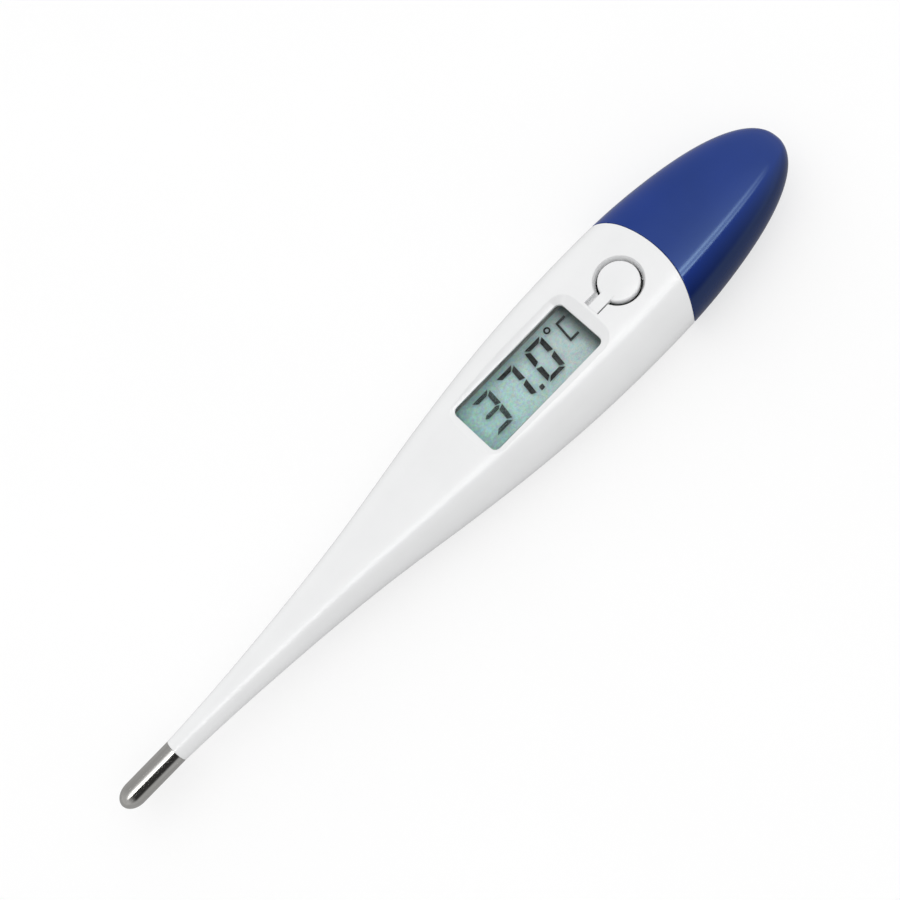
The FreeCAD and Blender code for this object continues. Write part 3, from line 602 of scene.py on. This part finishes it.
# ---- battery cover ------------------------------------------------------
def cover_hollow():
    """The space inside the cover: the carrier's passage, closed by the nose."""
    inner = Form(lambda x: CAP_WALL)
    zero = np.zeros(COLUMNS)
    rings = stretch(inner, inner.at_plane(HOLLOW_START), zero + SPANS, ROWS_PER_SPAN * COVER_SPANS)
    plug = solid_of_rings("plug", rings, close_end=False)
    height = MOUTH_HIGH - MOUTH_LOW
    outline = rounded_outline((height, 2 * MOUTH_HALF_WIDTH, MOUTH_CORNER))
    mid = (MOUTH_HIGH + MOUTH_LOW) / 2
    rings = [np.column_stack([np.full(len(outline), x), outline[:, 1], mid - outline[:, 0]])
             for x in PASSAGE]
    boolean(plug, prism("passage", rings), "INTERSECT")
    return plug


def neck_plug():
    """The neck that plugs into the housing's mouth, still solid."""
    form = Form(lambda x: WALL + NECK_GAP)
    form.columns = form.columns - np.array([NECK_LENGTH, 0, 0])
    u0 = form.at_arch(JOIN_RADIUS - NECK_LENGTH)
    u1 = form.at_arch(JOIN_RADIUS + RIM_OVERLAP)
    return solid_of_rings("neck", stretch(form, u0, u1, ROWS_PER_SPAN))


def cover_shell(reference):
    """The blue end cap with its neck, hollow for the carrier's end."""
    outer = Form(lambda x: 0)
    zero = np.zeros(COLUMNS)
    rim = JOIN_RADIUS + JOIN_GAP
    rings = arched_edge(rim, 1)[::-1]
    rows = ROWS_PER_SPAN * COVER_SPANS
    rings += stretch(outer, outer.at_arch(rim + EDGE), zero + SPANS, rows)[1:]
    cap = solid_of_rings("cover_shell", rings, close_end=False)
    boolean(cap, neck_plug(), "UNION")
    boolean(cap, below_back())
    boolean(cap, cover_hollow())
    smooth_like(cap, reference)
    return finish_piece(cap, "battery_cover", "blue_plastic", "cover")


# ---- button with its tongue ---------------------------------------------
def button_profile():
    """Crowned top, rounded edge, straight side and the post below."""
    ball = (BUTTON_RADIUS ** 2 + BUTTON_CROWN ** 2) / (2 * BUTTON_CROWN)
    points = []
    for step in range(CROWN_STEPS + 1):
        r = (BUTTON_RADIUS - BUTTON_EDGE) * step / CROWN_STEPS
        points.append((r, BUTTON_TOP - ball + math.sqrt(ball ** 2 - r ** 2)))
    shoulder = points[-1][1] - BUTTON_EDGE
    for step in range(1, SHOULDER_STEPS + 1):
        a = math.pi / 2 * step / SHOULDER_STEPS
        points.append((BUTTON_RADIUS - BUTTON_EDGE * (1 - math.sin(a)),
                       shoulder + BUTTON_EDGE * math.cos(a)))
    post = [(POST_RADIUS, BUTTON_LOW), (POST_RADIUS, POST_LOW), (0, POST_LOW)]
    return points + [(BUTTON_RADIUS, BUTTON_LOW)] + post


def tongue(reference):
    """A strip of the housing's skin from the root to the button."""
    rows, across = TONGUE_ROWS, TONGUE_ACROSS
    end = BUTTON_X - BUTTON_RADIUS / 2
    vertices = []
    for i in range(rows + 1):
        x = TONGUE_ROOT + (end - TONGUE_ROOT) * i / rows
        tops = []
        for j in range(across + 1):
            y = TONGUE_SIDES[0] + (TONGUE_SIDES[1] - TONGUE_SIDES[0]) * j / across
            above = Vector(to_row([x, y, REACH]))
            hit = reference[0].ray_cast(above, Vector((0, 0, -1)))[0]
            tops.append((x, y, from_row(z=hit[2])[1]))
        vertices += tops + [(x, y, z - TONGUE_THICKNESS) for x, y, z in reversed(tops)]
    count = 2 * (across + 1)
    faces = band_faces(rows + 1, count)
    for base in (0, rows * count):
        for j in range(across):
            faces.append((base + j, base + j + 1, base + count - 2 - j, base + count - 1 - j))
    return new_object("tongue", vertices, faces)


def button_moulding(reference):
    """The button and its tongue, which runs from the tongue's root to the button."""
    shape = lathe("button_moulding", BUTTON_X, button_profile())
    boolean(shape, tongue(reference), "UNION")
    smooth_like(shape, reference)
    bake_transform(shape)
    return finish_piece(shape, "power_button", "white_plastic")


# ---- probe --------------------------------------------------------------
def tip_profile():
    """Outside and inside of the drawn cup, from nose to open end and back."""
    points = []
    for radius, start in ((TIP_RADIUS, 0.0), (TIP_RADIUS - TIP_WALL, TIP_WALL)):
        nose = TIP_NOSE - start
        side = [(radius * math.sin(a), start + nose * (1 - math.cos(a)))
                for a in np.linspace(0, math.pi / 2, NOSE_STEPS + 1)]
        side += [(radius, x) for x in np.linspace(TIP_NOSE, PROBE_END, SLEEVE_STEPS + 1)[1:]]
        points.append(side)
    return points[0] + points[1][::-1]


def steel_cup():
    cup = lathe("steel_cup", 0, tip_profile(), along=True)
    smooth_by_angle(cup)
    return finish_piece(cup, "probe_tip", "steel_tip", "case")


# ---- sensor leads -------------------------------------------------------
def lead_route(side):
    """Plan corners of one lead, from the sensor bead to its pad."""
    y = side * LEAD_Y
    route = [(LEAD_START, y), (SLACK_START, y)]
    for wave in range(SLACK_WAVES):
        swing = SLACK_SWING if wave % 2 == 0 else -SLACK_SWING
        route.append((SLACK_START + SLACK_PITCH * (wave + 0.5), y + swing))
    route += [(SLACK_END, y), (SPREAD_START, y)]
    return route + [(SPREAD_END, side * PAD_Y), (PAD_X, side * PAD_Y)]


def rounded_line(route):
    """Points along the route with its corners rounded off."""
    corners = [Vector((x, y, 0)) for x, y in route]
    points = [corners[0]]
    for before, corner, after in zip(corners, corners[1:], corners[2:]):
        back, ahead = (before - corner).normalized(), (after - corner).normalized()
        turn = math.pi - back.angle(ahead)
        centre = corner + (back + ahead).normalized() * WIRE_BEND / math.cos(turn / 2)
        reach = WIRE_BEND * math.tan(turn / 2)
        start, end = corner + back * reach - centre, corner + ahead * reach - centre
        last, first = points[-1], start + centre
        steps = max(2, int((first - last).length / WIRE_RUN))
        points += [last.lerp(first, t) for t in np.linspace(0, 1, steps)[1:]]
        steps = max(2, int(turn * WIRE_BEND / WIRE_STEP))
        points += [start.slerp(end, t) + centre for t in np.linspace(0, 1, steps)[1:]]
    return points + [corners[-1]]


def tube(name, line, z):
    """A round wire along a flat line at height z."""
    rings = []
    for index, point in enumerate(line):
        ahead = line[min(index + 1, len(line) - 1)] - line[max(index - 1, 0)]
        side = Vector((-ahead.y, ahead.x, 0)).normalized()
        rings.append(np.array([(point.x + side.x * WIRE_RADIUS * math.cos(a),
                                point.y + side.y * WIRE_RADIUS * math.cos(a),
                                z + WIRE_RADIUS * math.sin(a)) for a in full_turn(WIRE_SIDES)]))
    return prism(name, rings)


def sensor_leads():
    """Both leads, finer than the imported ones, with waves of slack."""
    z = from_row(z=middle("lead_wires")[2])[1]
    leads = join([tube("sensor_leads", rounded_line(lead_route(side)), z) for side in (1, -1)])
    smooth_by_angle(leads)
    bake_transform(leads)
    return finish_piece(leads, "lead_wires", "wire_enamel")


# ---- materials ----------------------------------------------------------
NOISE_SPAN = (0.3, 0.7)         # most of a noise lies between these
NOISE_ROUGHNESS = 0.55
PLASTIC_IOR, CLEAR_IOR = 1.5, 1.45
GRAIN_SCALE, GRAIN_DEPTH = 3000.0, 0.02 * MM
DRAWN_LINES = 0.04              # the steel's grain along the cup, as a share of that across
SOFT_EDGE = 0.10 * MM           # radius that shading gives to the white edges

# Colours come in pairs, between which the material is mottled.
WHITE = ((0.822, 0.826, 0.83), (0.842, 0.846, 0.85))
ROYAL_BLUE = ((0.0100, 0.030, 0.192), (0.0115, 0.033, 0.214))
STAINLESS = ((0.60, 0.59, 0.565), (0.68, 0.67, 0.65))
# The display's film goes from the first colour to the second along the window, as painted light.
FILM_WITH_PAINTED_LIGHT = ((0.53, 0.83, 0.80), (0.78, 0.965, 0.985))
RESIST = ((0.012, 0.10, 0.04), (0.03, 0.19, 0.08))
RUBBER_STRIPES = ((0.02, 0.02, 0.02), (0.45, 0.45, 0.47))

# Painted shade: the blue's colour is darkened as the normal's y falls through the first range.
FLANK_NORMALS, PAINTED_FLANK_SHADES = (-0.75, -0.3), (0.35, 1.0)
BLUE_SHINE, BLUE_SHINE_LEVEL = (0.55, 0.8, 1.0, 1), 0.72
# Places on the display's film, in millimetres from the window's middle: where painted light makes the film
# paler, and where a painted shadow of the window's edge darkens it.
PAINTED_LIGHT_SPAN, SHADOW_SPAN, SHADOW_SHADES = (-10.0, 10.0), (8.6, 10.2), (1.0, 0.25)
SPARKLE_SCALE, SPARKLE_GAIN, SPARKLE_BASE = 2600.0, (0.75, 0.75, 0.75), (0.665, 0.67, 0.66)


class Nodes:
    """A node tree that is built step by step."""

    def __init__(self, tree):
        self.tree = tree

    def node(self, kind, **inputs):
        made = self.tree.nodes.new(kind)
        for name, value in inputs.items():
            if hasattr(made, name):
                setattr(made, name, value)
            else:
                self.feed(made.inputs[name], value)
        return made

    def feed(self, socket, value):
        if isinstance(value, bpy.types.NodeSocket):
            self.tree.links.new(value, socket)
        else:
            socket.default_value = value

    def compute(self, kind, operation, *values):
        """A math node, from its operation and its inputs in order."""
        made = self.node(kind, operation=operation)
        for socket, value in zip(made.inputs, values):
            self.feed(socket, value)
        return made.outputs

    def math(self, operation, *values):
        return self.compute("ShaderNodeMath", operation, *values)[0]

    def scaled(self, colour, share):
        made = self.node("ShaderNodeVectorMath", operation="SCALE")
        self.feed(made.inputs[0], colour)
        self.feed(made.inputs["Scale"], share)
        return made.outputs[0]

    def map_range(self, value, source, target=(0.0, 1.0)):
        """The value carried from the source range to the target range, and held in it."""
        made = self.node("ShaderNodeMapRange", Value=value)
        for name, limit in zip(("From Min", "From Max", "To Min", "To Max"), (*source, *target)):
            made.inputs[name].default_value = limit
        return made.outputs[0]

    def mix(self, share, first, second):
        """A number that turns from the first to the second as the share grows."""
        made = self.node("ShaderNodeMix")
        for place, value in ((0, share), (2, first), (3, second)):
            self.feed(made.inputs[place], value)
        return made.outputs[0]


class Finish(Nodes):
    """A material on the standard shader."""

    def __init__(self, name, roughness=0.4, metallic=0.0, ior=1.46):
        self.material = bpy.data.materials.new(name)
        self.material.use_nodes = True
        super().__init__(self.material.node_tree)
        self.shader = self.tree.nodes["Principled BSDF"]
        self.output = self.tree.nodes["Material Output"]
        self.set("Roughness", roughness)
        self.set("Metallic", metallic)
        self.set("IOR", ior)
        self.place = self.node("ShaderNodeTexCoord").outputs["Object"]

    def set(self, name, value):
        self.feed(self.shader.inputs[name], value)

    def noise(self, scale, lines=1.0, detail=3.0):
        """Grey noise with scale features per metre, drawn out along x where lines is below 1."""
        mapping = self.node("ShaderNodeMapping", Vector=self.place, Scale=(lines, 1, 1))
        return self.node("ShaderNodeTexNoise", Vector=mapping.outputs[0], Scale=scale,
                         Detail=detail, Roughness=NOISE_ROUGHNESS).outputs["Fac"]

    def ramp(self, factor, colours, span=NOISE_SPAN):
        """Turns from the first colour to the second as the factor crosses the span."""
        made = self.node("ShaderNodeValToRGB", Fac=factor)
        for element, position, colour in zip(made.color_ramp.elements, span, colours):
            element.position = position
            element.color = (*colour, 1)
        return made.outputs[0]

    def bump(self, height, strength, distance, normal=None):
        made = self.node("ShaderNodeBump", Height=height, Strength=strength, Distance=distance)
        if normal is not None:
            self.feed(made.inputs["Normal"], normal)
        return made.outputs[0]

    def mix_shaders(self, share, first, second):
        """The surface turns from the first shader to the second as the share grows."""
        mix = self.node("ShaderNodeMixShader", Fac=share)
        self.feed(mix.inputs[1], first)
        self.feed(mix.inputs[2], second)
        self.feed(self.output.inputs["Surface"], mix.outputs[0])


def white_plastic(name):
    """Glossy white with a faint moulded texture and softened edges."""
    finish = Finish(name, ior=PLASTIC_IOR)
    finish.set("Base Color", finish.ramp(finish.noise(scale=160.0), WHITE))
    finish.set("Roughness", finish.map_range(finish.noise(scale=420.0), NOISE_SPAN, (0.2, 0.27)))
    edge = finish.node("ShaderNodeBevel", samples=6, Radius=SOFT_EDGE).outputs[0]
    peel = finish.noise(scale=620.0, detail=2.0)
    finish.set("Normal", finish.bump(peel, strength=0.05, distance=GRAIN_DEPTH, normal=edge))
    return finish


def blue_plastic(name):
    """Royal blue, with painted shade that darkens it on the flank away from the key side."""
    finish = Finish(name, ior=PLASTIC_IOR)
    royal = finish.ramp(finish.noise(scale=120.0), ROYAL_BLUE)
    # Painted shade: the colour darkens where the normal faces away from the key light.
    normal = finish.node("ShaderNodeNewGeometry").outputs["Normal"]
    facing = finish.node("ShaderNodeSeparateXYZ", Vector=normal).outputs["Y"]
    painted_shade = finish.map_range(facing, FLANK_NORMALS, PAINTED_FLANK_SHADES)
    finish.set("Base Color", finish.scaled(royal, painted_shade))
    finish.set("Specular Tint", BLUE_SHINE)
    finish.set("Specular IOR Level", BLUE_SHINE_LEVEL)
    finish.set("Roughness", finish.map_range(finish.noise(scale=420.0), NOISE_SPAN, (0.1, 0.14)))
    peel = finish.noise(scale=450.0, detail=2.0)
    finish.set("Normal", finish.bump(peel, strength=0.08, distance=GRAIN_DEPTH))
    return finish


def drawn_steel(name):
    """Bright steel with fine lines along the cup."""
    finish = Finish(name, metallic=1.0)
    lines = finish.noise(scale=2600.0, lines=DRAWN_LINES, detail=4.0)
    finish.set("Base Color", finish.ramp(lines, STAINLESS))
    finish.set("Roughness", finish.map_range(lines, NOISE_SPAN, (0.13, 0.2)))
    finish.set("Normal", finish.bump(lines, strength=0.02, distance=GRAIN_DEPTH / 2))
    return finish


def reflector(name):
    """Grey-green film with fine coloured sparkle, made paler towards the button by painted light, and
    darkened there by a painted shadow of the window's edge."""
    finish = Finish(name, roughness=0.5)
    along = finish.node("ShaderNodeSeparateXYZ", Vector=finish.place).outputs["X"]
    film, shadow = ([to_row([WINDOW_X + x, 0, 0])[0] for x in span] for span in (PAINTED_LIGHT_SPAN, SHADOW_SPAN))
    # Painted light: the film turns paler along the window towards the button.
    colour = finish.ramp(finish.map_range(along, film), FILM_WITH_PAINTED_LIGHT, (0.0, 0.8))
    grain = finish.node("ShaderNodeTexNoise", Vector=finish.place, Scale=SPARKLE_SCALE, Detail=1.0)
    sparkle = finish.compute("ShaderNodeVectorMath", "MULTIPLY_ADD", grain.outputs["Color"],
                             SPARKLE_GAIN, SPARKLE_BASE)
    mix = finish.node("ShaderNodeMix", data_type="RGBA", blend_type="MULTIPLY", clamp_result=True)
    mix.inputs["Factor"].default_value = 1.0
    finish.feed(mix.inputs[6], colour)
    finish.feed(mix.inputs[7], sparkle[0])
    # Painted shadow of the window's edge at the button's end.
    shade = finish.map_range(along, shadow, SHADOW_SHADES)
    finish.set("Base Color", finish.scaled(mix.outputs[2], shade))
    return finish


def laminate(name):
    """Green resist over wavy copper tracks."""
    finish = Finish(name, roughness=0.35)
    wave = finish.node("ShaderNodeTexWave", Vector=finish.place, Scale=260.0, Distortion=3.0, Detail=1.0)
    tracks = wave.outputs["Fac"]
    finish.set("Base Color", finish.ramp(tracks, RESIST, (0.45, 0.55)))
    finish.set("Normal", finish.bump(tracks, strength=0.2, distance=1.5 * GRAIN_DEPTH))
    return finish


def striped_rubber(name):
    """Thin dark carbon layers between grey silicone layers."""
    finish = Finish(name, roughness=0.6)
    wave = finish.node("ShaderNodeTexWave", Vector=finish.place, Scale=1600.0)
    finish.set("Base Color", finish.ramp(wave.outputs["Fac"], RUBBER_STRIPES))
    return finish


def clear(tint, gloss, scale):
    """Maker of a see-through sheet: tinted, with a thin reflection that grows at a glance."""
    def make(name):
        finish = Finish(name)
        cloud = finish.noise(scale)
        tints = tuple(c * 0.97 for c in tint), tint
        see = finish.node("ShaderNodeBsdfTransparent", Color=finish.ramp(cloud, tints))
        roughness = finish.map_range(cloud, NOISE_SPAN, (0.03, 0.06))
        shine = finish.node("ShaderNodeBsdfGlossy", Roughness=roughness)
        fresnel = finish.node("ShaderNodeFresnel", IOR=CLEAR_IOR)
        share = finish.math("MULTIPLY", fresnel.outputs[0], gloss)
        finish.mix_shaders(share, see.outputs[0], shine.outputs[0])
        return finish
    return make


def plain(low, high, scale, roughness, bump=0.0, bump_scale=GRAIN_SCALE, metallic=0.0, lines=1.0):
    """Maker of a finish mottled from low to high, with a fine grain in the surface."""
    def make(name):
        finish = Finish(name, metallic=metallic)
        cloud = finish.noise(scale, lines)
        finish.set("Base Color", finish.ramp(cloud, (low, high)))
        finish.set("Roughness", finish.map_range(cloud, NOISE_SPAN, roughness))
        if bump:
            grain = finish.noise(bump_scale, lines)
            finish.set("Normal", finish.bump(grain, strength=bump, distance=GRAIN_DEPTH))
        return finish
    return make


FINISHES = {
    "white_plastic": white_plastic,
    "blue_plastic": blue_plastic,
    "steel_tip": drawn_steel,
    "clear_plastic": clear((0.995, 0.998, 0.998), gloss=0.3, scale=300.0),
    "display_glass": clear((0.995, 0.998, 0.997), gloss=0.05, scale=300.0),
    "polariser_film": clear((0.99, 0.997, 0.995), gloss=0.1, scale=2500.0),
    "reflector_film": reflector,
    "dark_segment": plain((0.010, 0.012, 0.014), (0.016, 0.018, 0.020), 2000.0, (0.4, 0.6)),
    "black_plastic": plain((0.012, 0.012, 0.013), (0.022, 0.022, 0.023), 600.0, (0.35, 0.5), bump=0.2),
    "carrier_plastic": plain((0.60, 0.61, 0.60), (0.66, 0.67, 0.66), 250.0, (0.38, 0.5), bump=0.15),
    "black_epoxy": plain((0.008, 0.008, 0.009), (0.02, 0.02, 0.02), 500.0, (0.15, 0.3),
                         bump=0.1, bump_scale=900.0),
    "grey_epoxy": plain((0.34, 0.34, 0.33), (0.46, 0.46, 0.45), 900.0, (0.4, 0.6), bump=0.2),
    "wire_enamel": plain((0.42, 0.13, 0.05), (0.58, 0.22, 0.09), 1500.0, (0.15, 0.3)),
    "tinned_metal": plain((0.62, 0.62, 0.60), (0.74, 0.74, 0.72), 1800.0, (0.2, 0.35),
                          bump=0.1, metallic=1.0, lines=0.1),
    "green_laminate": laminate,
    "striped_rubber": striped_rubber,
    "tan_ceramic": plain((0.42, 0.31, 0.18), (0.55, 0.43, 0.27), 1500.0, (0.4, 0.6), bump=0.1),
    "white_ceramic": plain((0.72, 0.70, 0.66), (0.80, 0.78, 0.74), 700.0, (0.35, 0.5), bump=0.15),
    "brass_disc": plain((0.66, 0.46, 0.17), (0.76, 0.56, 0.24), 1400.0, (0.22, 0.38),
                        bump=0.1, metallic=1.0, lines=0.08),
    "solder": plain((0.60, 0.60, 0.60), (0.72, 0.72, 0.72), 1500.0, (0.2, 0.4), bump=0.15, metallic=1.0),
    "cell_steel": plain((0.62, 0.62, 0.61), (0.74, 0.74, 0.73), 1600.0, (0.18, 0.32),
                        bump=0.1, metallic=1.0, lines=0.06),
    "gasket_rubber": plain((0.05, 0.05, 0.055), (0.09, 0.09, 0.095), 900.0, (0.5, 0.7), bump=0.1),
}


def dress(pieces):
    """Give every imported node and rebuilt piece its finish."""
    made = {slot: make(slot).material for slot, make in FINISHES.items()}
    for part in frame["record"]["subparts"]:
        node = frame["nodes"][part["node"]]
        for slot in node.material_slots:
            slot.material = made[part["material_slot"]]
    for piece in pieces:
        piece.data.materials.clear()
        piece.data.materials.append(made[piece["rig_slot"]])


# ---- floor, light and camera --------------------------------------------
FLOOR_SIZE, FLOOR_DROP = 3.0, 0.02 * MM
FLOOR_FINISH = plain((0.37, 0.37, 0.37), (0.38, 0.38, 0.38), 20.0, (0.6, 0.7))
FLOOR_SHINE = 0.1
FLOOR_GLOW = (0.4, 0.605)       # as it lights the object, and as the camera sees it
FLOOR_REFLECTED = (0.42, 0.42, 0.42, 1)

KEY = Vector((0.42, 0.52, 0.74)).normalized()   # where the soft light is strongest
SKY_MIDDLE, SKY_SLOPE = 0.83, 0.42
BACKDROP = 1.0                  # beyond the floor's far edge, as pale as the floor
# What shiny surfaces see, by the angle in degrees from overhead towards -Y:
# a broad soft box with two bright edges, a dark gap, then the grey room.
REFLECTED = ((-180, 0.3), (-90, 0.42), (-30, 0.42), (-20, 0.55), (-14, 1.0), (-8, 1.3), (-2, 1.6),
             (1.2, 7), (2.8, 7), (4, 3), (9.5, 3), (10.5, 8), (12.2, 8), (13.5, 0.6), (16, 0.04),
             (70, 0.03), (84, 0.45), (180, 0.4))
BRIGHTEST = 8.0
END_FADE, END_GREY = (0.3, 0.8), 0.55   # towards +X and -X the pattern fades into even grey

TILT, TURN = math.radians(18.5), math.radians(45.64)
DISTANCE, NEAREST = 0.200, 0.01
SENSOR, LENS, SHIFT = 36.0, 59.38, (0.0466, 0.0711)
AIM = Vector((-0.008, 0, AXIS_HEIGHT))
CLEAR_LAYERS = 48               # the display has many clear layers


def floor():
    """A glowing table, so that the object's shadow stays faint."""
    corners = [(x * FLOOR_SIZE, y * FLOOR_SIZE, -FLOOR_DROP) for x, y in ((-1, -1), (1, -1), (1, 1), (-1, 1))]
    plane = bpy.data.meshes.new("floor")
    plane.from_pydata(corners, [], [(0, 1, 2, 3)])
    shape = bpy.data.objects.new("floor", plane)
    bpy.context.scene.collection.objects.link(shape)
    finish = FLOOR_FINISH("floor")
    ray = finish.node("ShaderNodeLightPath").outputs
    finish.set("Specular IOR Level", FLOOR_SHINE)
    finish.set("Emission Color", (1.0, 1.0, 1.0, 1))
    finish.set("Emission Strength", finish.map_range(ray["Is Camera Ray"], (0.0, 1.0), FLOOR_GLOW))
    # Shiny surfaces see a plain grey floor that doesn't glow.
    grey = finish.node("ShaderNodeBsdfDiffuse", Color=FLOOR_REFLECTED)
    finish.mix_shaders(ray["Is Glossy Ray"], finish.shader.outputs[0], grey.outputs[0])
    plane.materials.append(finish.material)


def sky():
    """A soft dome, brighter towards the key side, and what shiny surfaces see."""
    world = bpy.data.worlds.new("studio")
    world.use_nodes = True
    world.cycles.sampling_method = "NONE"
    bpy.context.scene.world = world
    nodes = Nodes(world.node_tree)
    place = nodes.node("ShaderNodeTexCoord").outputs["Generated"]
    towards_key = nodes.compute("ShaderNodeVectorMath", "DOT_PRODUCT", place, KEY)["Value"]
    soft = nodes.math("MULTIPLY_ADD", towards_key, SKY_SLOPE, SKY_MIDDLE)
    x, y, z = nodes.node("ShaderNodeSeparateXYZ", Vector=place).outputs
    angle = nodes.math("ARCTAN2", nodes.math("MULTIPLY", y, -1.0), z)
    turn = nodes.math("MULTIPLY_ADD", angle, 0.5 / math.pi, 0.5)
    ramp = nodes.node("ShaderNodeValToRGB", Fac=turn)
    elements = ramp.color_ramp.elements
    while len(elements) < len(REFLECTED):
        elements.new(0.5)
    for element, (degrees, level) in zip(elements, REFLECTED):
        share = level / BRIGHTEST
        element.position = (degrees + 180) / 360
        element.color = (share, share, share, 1)
    pattern = nodes.math("MULTIPLY", ramp.outputs[0], BRIGHTEST)
    fade = nodes.map_range(nodes.math("ABSOLUTE", x), END_FADE)
    shiny = nodes.mix(fade, pattern, END_GREY)
    ray = nodes.node("ShaderNodeLightPath").outputs
    lit = nodes.mix(ray["Is Glossy Ray"], soft, shiny)
    background = world.node_tree.nodes["Background"].inputs
    nodes.feed(background["Strength"], nodes.mix(ray["Is Camera Ray"], lit, BACKDROP))
    nodes.feed(background["Color"], (1, 1, 1, 1))


def camera():
    """Looks down at the display from the -Y side, turned so that the tip is low left."""
    across = Vector((0, math.cos(TILT), math.sin(TILT)))
    back = Vector((0, -math.sin(TILT), math.cos(TILT)))
    along = Vector((1, 0, 0))
    right = math.cos(TURN) * along - math.sin(TURN) * across
    up = math.sin(TURN) * along + math.cos(TURN) * across
    data = bpy.data.cameras.new("camera")
    data.sensor_width = SENSOR
    data.lens = LENS
    data.shift_x, data.shift_y = SHIFT
    data.clip_start = NEAREST
    shape = bpy.data.objects.new("camera", data)
    turned = Matrix((right, up, back)).transposed().to_4x4()
    shape.matrix_world = Matrix.Translation(AIM + back * DISTANCE) @ turned
    bpy.context.scene.collection.objects.link(shape)
    bpy.context.scene.camera = shape


bpy.context.scene.view_settings.view_transform = "Standard"
bpy.context.scene.cycles.transparent_max_bounces = CLEAR_LAYERS
surface = outer_surface()
built = [housing_shell(surface), cover_shell(surface), button_moulding(surface), steel_cup(),
         sensor_leads()]
dress(built)
floor()
sky()
camera()
